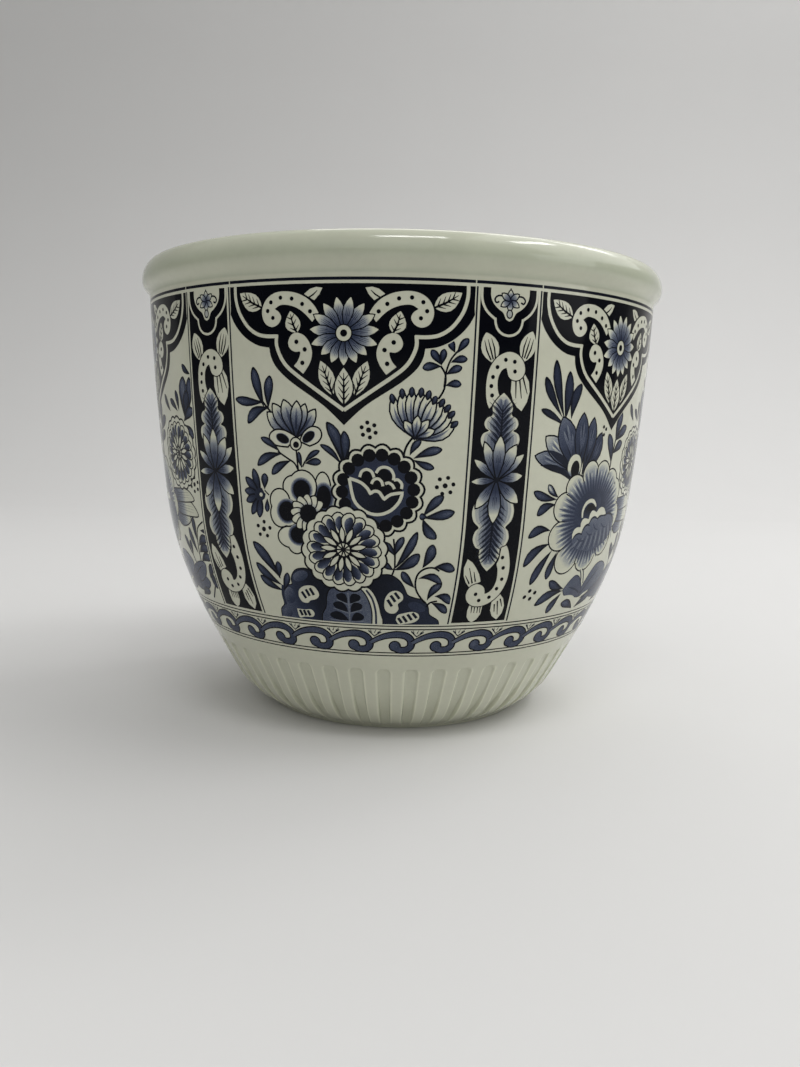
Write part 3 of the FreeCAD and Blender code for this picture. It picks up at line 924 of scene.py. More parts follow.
def rosette(sheet, centre, ring, turn=90, count=6, size=0.72):
    """A ring of small dots round a larger one."""
    sheet.dot(centre, size * 1.25)
    for number in range(count):
        sheet.dot(polar(centre, ring, turn + 360 / count * number), size)


def crown_flower(sheet):
    """The flower like a crown, with two eyed wings under it."""
    base = (-17.3, 116.5)
    petals = [((-28.1, 124.5), 4.6, 0.6), ((-10.2, 125.7), 3.8, -0.4), ((-25.9, 127.4), 4.4, 0.3),
              ((-13.8, 127.4), 3.6, 0), ((-21.7, 128.7), 4.6, 0), ((-16.8, 128.3), 3.8, 0)]
    for tip, width, bend in petals:
        petal(sheet, base, tip, width, bend, 0.18, 1.1)
    left = [(-17.6, 116.6), (-21.5, 118.4), (-25, 118.6), (-27.3, 117), (-27, 114.8), (-24.4, 113.6),
            (-20.5, 113.3)]
    right = [(-15.6, 115.2), (-14.2, 118), (-11.6, 119.9), (-9, 119.5), (-8.1, 117.4), (-9.4, 115.2),
             (-12.2, 113.9)]
    for wing, spot, lean in ((left, (-22.4, 115.9), -22), (right, (-12.6, 116.7), 38)):
        sheet.edged(curve(wing, 4), BARE, 0.45)
        dark_eye(sheet, spot, 5, 2.9, 0.25, lean)
    sheet.line([(-17.4, 114), (-17, 109), (-16.6, 104.8)], 0.5)
    sheet.edged(oval((-17.4, 114.2), 3.7, 3.9), BARE, 0.4)
    sheet.dot((-17.3, 113.9), 1.15)
    sheet.smooth([(-16.6, 105), (-18, 107.5), (-20.4, 109), (-24.5, 111.4)], 0.5)
    sheet.smooth([(-15, 106.4), (-14, 108.3), (-12.4, 109.9)], 0.45, steps=3)
    leaves(sheet, [((-23.5, 111.2), (-31.4, 116), 2.6, -0.5), ((-22.6, 110.5), (-33.2, 106.2), 3.4, -1.3),
                   ((-19.2, 108.4), (-27.2, 103.3), 3.2, -0.8), ((-14.4, 107.6), (-8.6, 112.2), 2.2, 0.6),
                   ((-14.2, 107.6), (-8.1, 108.4), 2.8, 0.2), ((-15.2, 105.8), (-16.4, 111.6), 1.9, 0.2)])


def thistle(sheet):
    """The fan of long petals, each with a dark club at its tip."""
    base = (23.9, 117.4)
    clubs = [((16.4, 130.9), 2.1), ((37.7, 122.7), -2.3), ((19.7, 132.6), 1.6), ((36.6, 125.9), -1.6),
             ((22.9, 133.1), 0.9), ((35.1, 127.9), -1.2), ((26, 133), 0.1), ((33.1, 129.7), -0.9),
             ((28.5, 132.2), -0.2), ((30.6, 130.5), -0.5)]
    for tip, bend in clubs:
        petal(sheet, base, ahead(base, tip, 0.98), 3.1, bend, 0.3, 1.3, 0.68)
        leaf(sheet, ahead(base, tip, 0.83, bend * 0.5), ahead(base, tip, 1.06), 2.2, 0, 0.45, 0.55)
    for tip in ((20.5, 122.6), (30.3, 119.8), (28.4, 123), (24.8, 124.3)):
        petal(sheet, base, tip, 2.5, 0, 0.3, 1.3)
    sheet.smooth([(23.2, 117.4), (21.2, 114.5), (20.3, 111.6), (20.6, 109.6)], 0.6)
    leaves(sheet, [((22.2, 111.2), (26, 116.6), 2.6, 0.5), ((23.4, 110.2), (33.3, 113.6), 3.3, 0.5),
                   ((23.4, 109.9), (30.6, 107), 2.8, -0.3)])


def peony(sheet):
    """The round dark flower with a white cup in it."""
    centre = (11.4, 99)
    sheet.edged(scalloped(centre, 15.6, 18, 1.4, 83), BARE, 0.6)
    sheet.fill(scalloped(centre, 13.5, 18, 1.5, 83), INK)
    sheet.fill(oval(centre, 23.4, 23.4, steps=36), around(centre, 5, 12, 0.4, 0.26))
    for number in range(18):
        sheet.fill(oval(polar(centre, 12.3, 83 + 20 * number), 4.5, 4.5, steps=12), INK)
    cup = [(1.7, 103.1), (5.6, 101.8), (8, 99.7), (8.9, 98), (10.2, 98.9), (11.8, 98.7), (12.9, 97.3),
           (13.6, 96.2), (15.9, 97.9), (19.9, 98.6), (18.7, 95.4), (16, 92.5), (12.6, 91), (9, 91.1),
           (5.6, 92.9), (3.1, 96.1)]
    arcs = [[(5.3, 103.6), (6, 105.5), (7.7, 106.3), (9.4, 105.5), (10.2, 103.6)],
            [(10.9, 105.1), (12, 106.7), (13.9, 107.2), (15.9, 106.4), (16.9, 104.4), (16.7, 102.8)],
            [(9.3, 101.4), (10.1, 102.8), (11.6, 103.2), (12.8, 102.2), (13.2, 100.7)],
            [(14, 101.5), (15.2, 101.9), (16.5, 101), (17.1, 99.8)],
            [(16.9, 102.8), (18.3, 103), (19.6, 101.6), (19.5, 99.9)]]
    dark = [(4.6, 102.2), (5.4, 104.6), (7.7, 106.2), (10.4, 105.2), (13.8, 107.1), (17, 104.2),
            (19.8, 101.6), (19.6, 98.6), (13.6, 96.4), (9, 98.2)]
    sheet.fill(dark, INK)
    for points in arcs:
        sheet.smooth(points, 1, BARE, steps=3)
    sheet.fill(closed(cup, 2), across((4, 100), (14, 92), 0.16, 0.04))
    rim = curve(cup[:4], 3)[:-1] + curve(cup[3:8], 3)[:-1] + curve(cup[7:10], 3)[:-1]
    sheet.line(rim + curve(cup[9:] + cup[:1], 3), 1.1, BARE)


def lobed_flower(sheet):
    """The flower of four eyed lobes round a fluted bell."""
    clustered(sheet, [((-7.7, 99.2), 5.2, 10.8)])
    dark_eye(sheet, (-7.4, 96.2), 5.2, 8, 1.2)
    clustered(sheet, [((-18.9, 99.3), 7.2, 7.4), ((-15.2, 99.6), 10, 10.8), ((-17, 96), 9, 8)])
    dark_eye(sheet, (-15.6, 98.4), 6.4, 6.8)
    clustered(sheet, [((-24.2, 94.2), 7.4, 8), ((-24, 89.6), 7.8, 9.2), ((-21, 90), 8, 9)])
    dark_eye(sheet, (-21.4, 90.6), 6.4, 7)
    clustered(sheet, [((-20.6, 81.4), 9.2, 7.2), ((-18.4, 79), 5.8, 6.6)])
    dark_eye(sheet, (-17.2, 82.4), 6.2, 6)
    heart = (-13.2, 90.2)
    sheet.dot(heart, 5.9)
    for number in range(9):
        angle = 31 + 27.5 * number
        base, tip = polar(heart, 3, angle - 12), polar(heart, 6.6, angle + 10)
        sheet.edged(blade(base, tip, 2.7, 0.4, 0.55, 0.42), across(base, tip, 0.84, 1.3), 0.38)
    sheet.dot(heart, 3.4)


def small_star(sheet):
    """The small dark flower at the left edge."""
    centre = (-32.4, 96)
    tips = [(-35.1, 105.1), (-38.8, 101.9), (-39.4, 97.1), (-38.8, 93.1), (-36.4, 88.4), (-33, 87.5)]
    for tip in tips:
        leaf(sheet, centre, tip, 3.3, 0, 0.45, 0.58)
    leaf(sheet, (-30.4, 97.8), (-30.1, 103.6), 3.2, 0, 0.5)
    leaf(sheet, (-29.4, 94.8), (-29.6, 89.8), 2.2, 0, 0.5)
    sheet.dot(centre, 2.4, 0.2)
    sheet.line([(-31.4, 98.6), (-30.3, 96.8), (-28.2, 95.9)], 0.6, BARE)
    sheet.line([(-30.4, 97.5), (-28.6, 95.9)], 0.4)
    sheet.dot((-32, 95.9), 0.72, BARE)


def chrysanthemum(sheet, centre, size=1):
    """The round flower of curled petals round a white star."""
    sheet.edged(scalloped(centre, 15.3 * size, 18, 0.95, 4), BARE, 0.55)
    sheet.fill(oval(centre, 24.4 * size, 24.4 * size, steps=36), INK)
    for number in range(18):
        angle = 95 + 20 * number
        base, tip = polar(centre, 3.6 * size, angle - 6), polar(centre, 13.1 * size, angle + 3)
        sheet.edged(blade(base, tip, 4.3 * size, 0.6, 0.76, 0.55), BARE, 0.4)
        low, high = ahead(base, tip, 0.02, -0.5), ahead(base, tip, 0.88, -0.4)
        side, far = ahead(base, tip, 0.7, 1.5 * size), ahead(base, tip, 0.6, -1.2 * size)
        sheet.fill(blade(low, high, 3.1 * size, 0.6, 0.74, 0.6), across(side, far, 0.74, 0.1))
    sheet.fill(oval(centre, 9.4 * size, 9.4 * size), INK)
    points = 13
    for number in range(points):
        angle = 93 + 360 / points * number
        base, tip = polar(centre, 2.9 * size, angle), polar(centre, 8 * size, angle)
        sheet.edged(blade(base, tip, 1.6 * size, 0, 0.5, 0.85), BARE, 0.36)
    sheet.dot(centre, 3 * size)
    sheet.fill(oval(centre, 4.6 * size, 4.6 * size), BARE)
    for number in range(10):
        sheet.line([centre, polar(centre, 2.5 * size, 36 * number)], 0.42)
    sheet.dot(centre, 0.75 * size)


def window(sheet, outline, slashes):
    """A pale hole in a rock, with short dark strokes in it."""
    sheet.fill(closed(outline, 3), BARE)
    sheet.slashes(slashes, 0.85, 0.12)


def left_rock(sheet):
    """The rock at the panel's lower left, with bosses on its side and two windows."""
    left = [(-27, 49.5), (-26.9, 53.3), (-25.3, 55.4), (-25.6, 60), (-24, 62.8), (-21.2, 63.6),
            (-21.2, 66.2), (-19.6, 69), (-17, 70), (-14.6, 69.9), (-12, 68), (-8.5, 64.5), (-5, 62),
            (-5, 49.5)]
    sheet.edged(curve(left, 3), across((-24, 57), (-13, 61), 0.52, 0.1), 0.3)
    bosses = [((-17.6, 67.2), 6.4, 3.8, 25), ((-22.6, 59.2), 4.4, 6.4, 0), ((-24.2, 52.2), 3.6, 3.8, 0)]
    for (x, z), wide, high, turn in bosses:
        sheet.fill(oval((x, z), wide, high, turn), across((x - 2, z + 2), (x + 2, z - 2), 0.66, 0.3))
    window(sheet, [(-19, 59.2), (-18.7, 61.6), (-16.6, 63.4), (-13.2, 63.8), (-11.4, 62.2), (-10.9, 60.2),
                   (-12.2, 58.7), (-14.4, 58), (-15.6, 56.9), (-17.8, 57.2)],
           [((-17.6, 61.2), (-16.1, 58.7)), ((-15.9, 62.2), (-14.6, 59.7)), ((-14.3, 62.8), (-12.9, 60.2))])
    window(sheet, [(-20.3, 54.2), (-17.2, 54.1), (-14.6, 54.4), (-13.4, 52.9), (-14.3, 51.4), (-17.4, 51.2),
                   (-19.6, 50.7)],
           [((-19.2, 53.8), (-18.3, 51.6)), ((-17.6, 53.9), (-16.8, 51.7)), ((-16, 53.9), (-15.2, 51.8))])


def right_rock(sheet):
    """The rock at the panel's lower right, with two windows."""
    right = [(6, 49.5), (6, 62), (8.5, 67.6), (13, 69.3), (16, 69), (18.6, 67), (20, 64.4), (21, 61.9),
             (23.5, 60.7), (26.5, 59.8), (28.1, 57.4), (28.3, 54.6), (29.5, 53.3), (31.5, 51.8),
             (31.7, 49.5)]
    sheet.edged(curve(right, 3), across((12, 62), (24, 56), 0.08, 0.22), 0.3)
    sheet.fill(oval((24.2, 57.3), 6.4, 3.6, -20), 0.36)
    window(sheet, [(12.7, 57.6), (13.2, 60.5), (15, 62.9), (17.4, 63.5), (19.3, 62.2), (19.4, 60.1),
                   (17.6, 58.4), (17.7, 56.4), (16.4, 54.8), (14.4, 54.7), (13, 55.9)],
           [((14, 60), (15.4, 57.4)), ((15.2, 61.7), (16.7, 59.2)), ((16.7, 62.8), (18.2, 60.4))])
    window(sheet, [(16.5, 52.1), (17.2, 54), (19.5, 54.8), (22.5, 55.4), (24.6, 54.6), (24.8, 52.8),
                   (23, 51.2), (20, 50.6), (17.5, 50.4)],
           [((17.4, 52.9), (18.6, 50.9)), ((19, 53.7), (20.4, 51.3)), ((20.8, 54.4), (22.2, 52.1)),
            ((22.6, 54.9), (24, 52.9))])


def mound(sheet):
    """The mound between the rocks, with a pale band behind it and a leafy branch on it."""
    bands = [(2.5, 65.2), (7.5, 64), (9.9, 60.2), (11, 55), (10.8, 49.5), (0, 49.5)]
    sheet.edged(curve(bands, 4), BARE, 0.3)
    sheet.smooth([(6.6, 63.4), (8.6, 60), (9.5, 55), (9.3, 49.5)], 0.6, 0.3)
    hill = [(-10.4, 49.5), (-10, 53), (-8.4, 56), (-7.8, 60), (-6, 63.2), (0, 65), (4.6, 63.4), (6.9, 59.6),
            (7.9, 55), (7.5, 49.5)]
    sheet.edged(curve(hill, 4), across((-8, 57), (6, 60), 0.5, 0.62), 0.35)
    sheet.line([(-0.2, 50), (0, 56), (0, 62)], 0.4, 0.7)
    for side in (-1, 1):
        wide = side < 0
        pairs = [(61.1, 4.3, 58), (57.6, 5.8 if wide else 4.8, 54.6), (53.1, 7.4 if wide else 5.2, 51.2)]
        for high, reach, low in pairs:
            sheet.fill(blade((side * 0.5, low), (side * reach, high), 3.4, side * 0.6, 0.6, 0.6), 0.04)
            sheet.line([(0, low - 0.6), (side * reach, high - 1.9)], 0.3, 0.7)


def rocks(sheet):
    """The two rocks and the mound between them, at the foot of the panel."""
    left_rock(sheet)
    right_rock(sheet)
    mound(sheet)


def draw_garden_panel():
    """The panel with a peony, a chrysanthemum, a thistle and rocks."""
    sheet = panel_sheet()
    leaves(sheet, [((-29.5, 126.2), (-34, 140.1), 3.9, 0.4), ((-27.9, 125.8), (-27.1, 137.2), 3.9, 0.3),
                   ((-29.4, 128.2), (-42.2, 129.1), 3.4, 0.5), ((-27.2, 126.2), (-36.9, 120.8), 4, -1.7)])
    sheet.smooth([(-30.6, 128.8), (-28.6, 126.6), (-26.6, 124.6)], 0.55, steps=3)
    crown_flower(sheet)
    leaves(sheet, [((-0.9, 107.3), (-8.5, 114.3), 2.3, -0.9), ((-0.6, 107.2), (-6, 122), 4.2, -1.2),
                   ((-0.4, 107.2), (0, 119.1), 3.6, -0.6)])
    rosette(sheet, (8.4, 119.5), 2.5, 100)
    rosette(sheet, (34.4, 101.2), 2.9, 70)
    rosette(sheet, (-31.4, 83.5), 2.7, 85, 5)
    thistle(sheet)
    sheet.smooth([(31.6, 130.2), (33.5, 133.5), (33.9, 138), (32.2, 141)], 0.55)
    sheet.smooth([(33.5, 134.2), (34.2, 139.5), (35.8, 143.5), (38.4, 146.5)], 0.5)
    leaves(sheet, [((32.6, 140.8), (26.1, 140.2), 3, -0.4), ((32.6, 141.2), (29, 146.2), 2.8),
                   ((32.4, 141.2), (33.4, 146.6), 2.6), ((33.8, 134.6), (39.4, 135.3), 2.8, 0.4),
                   ((34, 138.2), (39.5, 140.9), 2.8, 0.3), ((35.5, 142.2), (41.3, 143.6), 2.7, 0.4),
                   ((37, 145.4), (35.3, 149.5), 2.6, 0.2), ((37.6, 145.2), (41.6, 150.2), 2.7, 0.2)])
    small_star(sheet)
    lobed_flower(sheet)
    peony(sheet)
    leaves(sheet, [((26.8, 90.4), (34, 97.9), 3.5, 0.4), ((26.8, 90), (38, 92.2), 3.7, -0.3),
                   ((26.8, 90), (31.4, 82.5), 3.9, -0.9), ((28.5, 90.2), (25.6, 90.6), 2.6)])
    sheet.smooth([(16.8, 72), (16.4, 70.4), (15.4, 68.4)], 0.5, steps=3)
    leaves(sheet, [((16.6, 71.4), (25.1, 85.2), 3.2, -0.7), ((16.8, 76), (20.3, 83.3), 2.8, 0.3),
                   ((16.6, 71.2), (25.8, 77.2), 4, -0.9), ((17.4, 76), (13.4, 81.4), 2.4, -0.3),
                   ((16.6, 71.2), (13.2, 74), 2.4, 0.3)])
    sheet.line([(17, 72), (17.2, 77), (16.8, 82.5)], 0.5)
    rocks(sheet)
    leaves(sheet, [((-25.6, 65.2), (-36.8, 78.6), 4.2, -0.6), ((-25.2, 62.8), (-36.2, 70.6), 3.4, 0.7),
                   ((-25, 60.8), (-34.9, 65.8), 3.1, 0.7), ((-26.4, 65.4), (-26.4, 72), 2.9, -0.2),
                   ((-25.2, 60.4), (-22.6, 68), 2.9, -0.3)])
    sheet.smooth([(-25.2, 63), (-25.6, 59), (-24.8, 55.2)], 0.9, 0.25)
    chrysanthemum(sheet, (-0.8, 78))
    sheet.smooth([(27.2, 58.8), (24.6, 62.8), (24, 66.4), (25, 69.8), (27.4, 71.8), (30.4, 72.2),
                  (32.6, 71)], 0.55)
    sheet.smooth([(27.6, 57.4), (29, 59), (31.6, 59.6)], 0.5, steps=3)
    leaves(sheet, [((26.5, 72), (30.6, 80.7), 3.9, -0.6), ((30.7, 72.4), (38.2, 71.4), 3.8, 0.6),
                   ((24.9, 68), (33.6, 66), 3.2, 1.9), ((23.8, 64.6), (19.4, 70.8), 3.1, 0.4),
                   ((27.9, 59.8), (33.4, 66.2), 3, 0.8), ((30.6, 61.4), (36.6, 58.6), 3.6, 1.3),
                   ((29.4, 58.9), (35, 54.8), 3.3, 0.7)])
    return sheet


def lily(sheet):
    """The lily with broad petals round an arched eye."""
    leaves(sheet, [
        ((-28.6, 124.4), (-35.3, 144.9), 3.9, 0.9, 0.25, 0.68),
        ((-29.2, 124.6), (-39.2, 138.9), 3.5, 0.8, 0.15, 0.72),
        ((-28.4, 124.2), (-28.4, 141.3), 4.4, -0.5, 0.3, 0.62),
        ((-25.4, 124.6), (-21.9, 137.3), 4.3, 1, 0.25, 0.64),
        ((-27.2, 121.4), (-39.7, 127.8), 2.7, -0.5, 0.12, 0.72),
    ])
    petals = [((-19.6, 103), (-39.6, 111.6), 6.2, -1.7, 0.06, 0.78),
              ((-19.4, 105), (-36, 118.2), 7, -0.4, 0.06, 1),
              ((-14.4, 105.5), (-6.6, 119.6), 5.6, -1.3, 0.1, 0.42),
              ((-15.6, 105), (-12.6, 125), 5.8, -0.7, 0.1, 0.52),
              ((-18.9, 105), (-29.2, 125), 8.6, 0.4, 0.08, 0.66),
              ((-17.5, 105), (-18.9, 126.6), 6.8, 0.3, 0.1, 0.54)]
    for base, tip, width, bend, root, end in petals:
        petal(sheet, base, tip, width, bend, root, end, 0.64)
        for side, low, high in ((-1, 0.35, 0.86), (1, 0.42, 0.8), (-2.2, 0.4, 0.68), (0.1, 0.3, 0.62)):
            start = ahead(base, tip, low, bend * 0.9 + side * width * 0.05)
            stop = ahead(base, tip, high, bend * 0.6 + side * width * 0.13)
            sheet.fill(blade(start, stop, width * 0.13, 0, 0.6), across(base, tip, root + 0.16, end + 0.2))
    sheet.fill(blade((-22, 106.5), (-34.6, 113.6), 2.8, -0.6, 0.5), across((-22, 106), (-34, 113), 0.05, 0.2))
    sheet.fill(blade((-21, 102.2), (-37.4, 108.2), 2.2, -1.7, 0.5), 0.1)
    arch = [(-22.2, 104.2), (-23.9, 106.5), (-23.9, 109.2), (-22.6, 111.4), (-20.5, 112.1), (-18.3, 111.3),
            (-17.1, 108.9), (-17.2, 106.2), (-17.9, 104.9)]
    sheet.fill(curve(arch, 4), across((-20, 103.4), (-20, 107), 0.5, 1.1))
    sheet.fill(oval((-20, 106.7), 4.6, 6.4), INK)
    dotted(sheet, [(-5.6, 122.1), (-3.9, 121.3), (-5, 119.2)], 0.7)
    leaf(sheet, (-26.6, 96.6), (-32.4, 101.4), 2.8, 0.5, 0.95)


def ray(centre, angle, inner, outer):
    """A stroke that points away from the peony's heart, as its two ends."""
    out, up = polar((0, 0), 1, angle)
    return [(centre[0] + 1.1 * out * reach, centre[1] + up * reach) for reach in (inner, outer)]


def peony_fringe(sheet, heart):
    """The peony's round lobes, pale at their edge, and the creases between them."""
    lobes = [((-22.6, 92.8), 10.6, 10.6), ((-22.4, 82.2), 11.4, 10.8), ((-15.8, 73.4), 12.4, 12),
             ((-3.6, 73.2), 12.6, 11.8), ((7.2, 78.4), 11.6, 11.8), ((12.4, 88), 11, 10.4),
             ((10.4, 97), 10.8, 10.6), ((5.6, 101.4), 10.4, 9.4), ((-1.8, 104.6), 9.4, 9.4),
             ((-10, 104.4), 9.2, 10.2), ((-18.2, 100), 9.6, 9)]
    clustered(sheet, lobes)
    shade = around(heart, 9, 22, 0.3, 1.06)
    for centre, wide, high in lobes:
        sheet.fill(oval(centre, wide * 0.84, high * 0.84), shade)
    sheet.fill(oval(heart, 36, 32, steps=44), shade)
    for (first, _, _), (second, _, _) in zip(lobes, lobes[1:] + lobes[:1]):
        middle = ahead(first, second, 0.5)
        sheet.line([ahead(heart, middle, reach) for reach in (1.16, 0.98, 0.76)], 0.5, 0.1, end=0.2)


def peony_rays(sheet, heart):
    """The dark, light and drawn strokes that point away from the peony's heart."""
    rays = 54
    for number in range(rays):
        angle = 360 / rays * number
        sway = sin(4.1 * number)
        start, end = ray(heart, angle, 9.5, 17.8 + 1.7 * sway)
        sheet.fill(blade(start, end, 1, 0, 0.5, 0.8, 5), around(heart, 10, 21, 0.26, 0.68))
        start, end = ray(heart, angle + 3.3, 13 - 1.6 * sway, 18.8 + sway)
        sheet.fill(blade(start, end, 0.6, 0, 0.7, 0.8, 5), around(heart, 11, 18, 0.5, 1))
        if number % 2:
            sheet.line(ray(heart, angle + 2, 12.5 + sway, 18.4 - sway), 0.32, 0.24, 0.1, 0.1)


def peony_lip(sheet):
    """The broad petal that hangs below the peony's heart, with its streaks and creases."""
    sheet.fill(oval((-8.6, 92), 17, 13, 20), around((-8.6, 92), 3, 8, 0.26, 0.4))
    lip = [(-15.6, 80.2), (-13, 82.3), (-10.2, 82.1), (-9.6, 84), (-8.2, 85.2), (-6.4, 85.4), (-5.8, 87),
           (-4, 88), (-2, 87.8), (-0.6, 87.2), (0.8, 88.2), (4, 88.4), (9, 88.3), (13.6, 87.2), (14.4, 83),
           (11.6, 78.8), (5, 76), (-2, 75), (-8, 75.6), (-13, 77.2)]
    sheet.fill(closed(lip, 2), across((-2, 88), (1, 74.5), 0.66, 0.5))
    for number in range(17):
        base = (-11.5 + 1.5 * number, 80.4 + 0.35 * number)
        tip = (-15 + 1.95 * number, 75 + 0.3 * abs(number - 6))
        sheet.fill(blade(base, tip, 0.8, 0.2, 0.5, 0.8, 5), 0.36 if number % 2 else 0.74)
    creases = [[(-15.2, 80.4), (-13.9, 82), (-11.8, 82.5), (-9.8, 81.7)],
               [(-9.9, 83.2), (-9.1, 84.9), (-7.6, 85.4), (-5.6, 85)],
               [(-6.4, 85.5), (-5.6, 87.3), (-3.8, 88.2), (-1.4, 87.4)],
               [(-0.9, 87), (0.6, 88.2), (3.4, 88.5), (6.2, 88)],
               [(4.2, 88.3), (8.4, 88.9), (12.4, 87.6), (14.6, 84.4)]]
    for points in creases:
        sheet.smooth(points, 0.6, 0.14, 0.4, 0.3)
    creases = [[(-12.6, 80.6), (-10.2, 79.4), (-7.6, 79.6)], [(-7.4, 82.8), (-5, 81.4), (-2.4, 81.6)],
               [(-3.4, 85.6), (-1.4, 83.6), (1.4, 83)], [(2.6, 85.6), (5.2, 83.8), (8.2, 83.6)]]
    for points in creases:
        sheet.smooth(points, 0.5, 0.42, 0.3, 0.2, steps=3)


def peony_clouds(sheet):
    """The white clouds over the petal, and the dark eye with its white brow."""
    clouds = [(-15.4, 80.4), (-16, 82.5), (-15.2, 84.3), (-13.4, 85), (-11.8, 84.9), (-12, 86.2),
              (-11.2, 87.7), (-9.6, 88.2), (-7.4, 87.7), (-7, 89.2), (-6.2, 90.4), (-4.6, 90.9), (-2.4, 90),
              (-1.2, 91.1), (1, 91.8), (3.2, 91.3), (4.6, 90.1), (5.4, 88.8), (3, 88.7), (0.4, 88.6),
              (-1, 87.7), (-2.4, 88.5), (-4.2, 88.5), (-5.8, 87.6), (-6.7, 86), (-7.8, 85.9), (-9.3, 85.2),
              (-10.2, 83.8), (-10.5, 82.5), (-12, 82.8), (-13.9, 82.4), (-15, 81.3)]
    sheet.fill(closed(clouds, 2), BARE)
    eye = [(-11.2, 88.2), (-10.9, 91.2), (-9, 93.2), (-6, 93.4), (-3.4, 92.2), (-2.4, 90.4), (-4.6, 91.2),
           (-6.6, 90.7), (-7.4, 89.4), (-7.6, 88)]
    sheet.fill(eye, across((-9.5, 88), (-8.2, 91.4), 0.4, 0))
    brow = [(-11.7, 88.4), (-12, 91), (-10.8, 93.4), (-8.4, 94.6), (-6, 94.4), (-4.2, 93.2), (-3.4, 92.2)]
    sheet.smooth(brow, 1.5, BARE, 0.5, 0.4)


def cloud_peony(sheet):
    """The large blue flower: a fringe of round lobes, rayed petals, clouds and a dark eye."""
    heart = (-5.2, 88)
    peony_fringe(sheet, heart)
    peony_rays(sheet, heart)
    peony_lip(sheet)
    peony_clouds(sheet)


def side_petals(sheet):
    """The pale petals that reach from the peony to the panel's right edge."""
    outlines = [
        [(16, 82), (20, 80.2), (25, 80.6), (29.4, 82.4), (29.6, 84.2), (24, 85.4), (16, 86.4)],
        [(14, 86), (22, 84.8), (30, 84.6), (36.4, 84.9), (36.8, 86.2), (34.8, 88.4), (31.6, 89.9), (22, 90),
         (14, 90)],
        [(13, 89.6), (22, 89.6), (30, 90.1), (35, 90.8), (34.9, 91.9), (32.4, 93.8), (28, 94.8), (22, 94.4),
         (14, 93.6)],
    ]
    for points in outlines:
        sheet.edged(closed(points, 3), across((19, 88), (29, 88), 0.5, 1.05), 0.42)
        for share in (0.3, 0.5, 0.7):
            low, high = ahead(points[0], points[-1], share), ahead(points[2], points[-3], share)
            sheet.line([ahead(low, high, 0.2), ahead(low, high, 1.2)], 0.45, 0.3, 0.4, 0.1)


def foliage(sheet):
    """The broad slate leaves at the foot of the lily panel."""
    sheet.smooth([(-4.4, 67.8), (-2.2, 66), (0.6, 61)], 1.6, BARE, steps=3)
    sheet.smooth([(-4.6, 67.6), (-2.6, 65.4), (-0.2, 61.4)], 0.45, 0.2, steps=3)
    sheet.smooth([(-3, 67.8), (-1.2, 66.2), (1.6, 61.4)], 0.45, 0.2, steps=3)
    masses = [
        (0.4, 0.56, [(4, 55), (10, 55.2), (17, 53.6), (25, 54.6), (30.6, 58.4), (25, 61.4), (17, 61.2),
                     (9, 59)]),
        (0.5, 0.66, [(1.6, 55.8), (2, 60), (4.6, 64.8), (8, 68.1), (12.6, 68.9), (17.6, 67.4), (20.2, 64.8),
                     (17, 61), (11, 58.2), (6, 56.4)]),
        (0.44, 0.64, [(14.6, 58.6), (19.4, 62.8), (24.6, 65.2), (29.8, 66.4), (32.4, 65.6), (29.8, 61.6),
                      (25.4, 58.8), (20, 57.2)]),
        (0.6, 0.5, [(-11.4, 60.2), (-9.2, 63.3), (-6.6, 65.2), (-3.8, 64.6), (-1.2, 62.4), (1.2, 59.6),
                    (1.8, 56.2), (-1, 56.2), (-5, 57.2), (-9.2, 57.9)]),
    ]
    for first, last, points in masses:
        sheet.edged(closed(points, 3), across(points[0], points[4], first, last), 0.35, 0.28)
    ribs = [[(2.6, 57), (7, 62), (12.6, 66.6)], [(17, 58.8), (23, 62), (29.6, 65)],
            [(1, 57.6), (-3.4, 59.6), (-8.6, 61)], [(7, 56.6), (15, 57.8), (24, 57.6)]]
    for points in ribs:
        sheet.smooth(points, 0.55, 0.3, 1, 0.2, steps=3)
    gaps = [[(-9.8, 57), (-5.5, 56.8), (-2.2, 55.9), (0, 54.1), (1.2, 51.6)],
            [(1.2, 51.6), (2.8, 54.2), (5.2, 55.9), (9.6, 57)]]
    for points in gaps:
        sheet.smooth(points, 1.1, BARE)
    leaves(sheet, [
        ((0.6, 50.9), (-9.3, 54.6), 3.7, -0.7, 0.55), ((2.2, 50.9), (13.6, 55.8), 4.2, 0.6, 0.52),
        ((-11.6, 60.8), (-21.8, 64.8), 3.5, 0.8, 0.45), ((-11.6, 59.8), (-25, 55.4), 4.4, -1.6, 0.45),
        ((-12, 58.8), (-16.6, 51.2), 3.9, -0.5, 0.5), ((34.7, 65.2), (34.9, 56.2), 4.2, 0.2, 0.3),
        ((32.6, 60.2), (38.4, 66.4), 3.4, 0.3, 0.35), ((17.6, 51.2), (27, 54.4), 3.4, 0.5, 0.45),
    ])
    sheet.smooth([(28, 51.6), (30.6, 54), (33.6, 57)], 0.6, 0.1, steps=3)


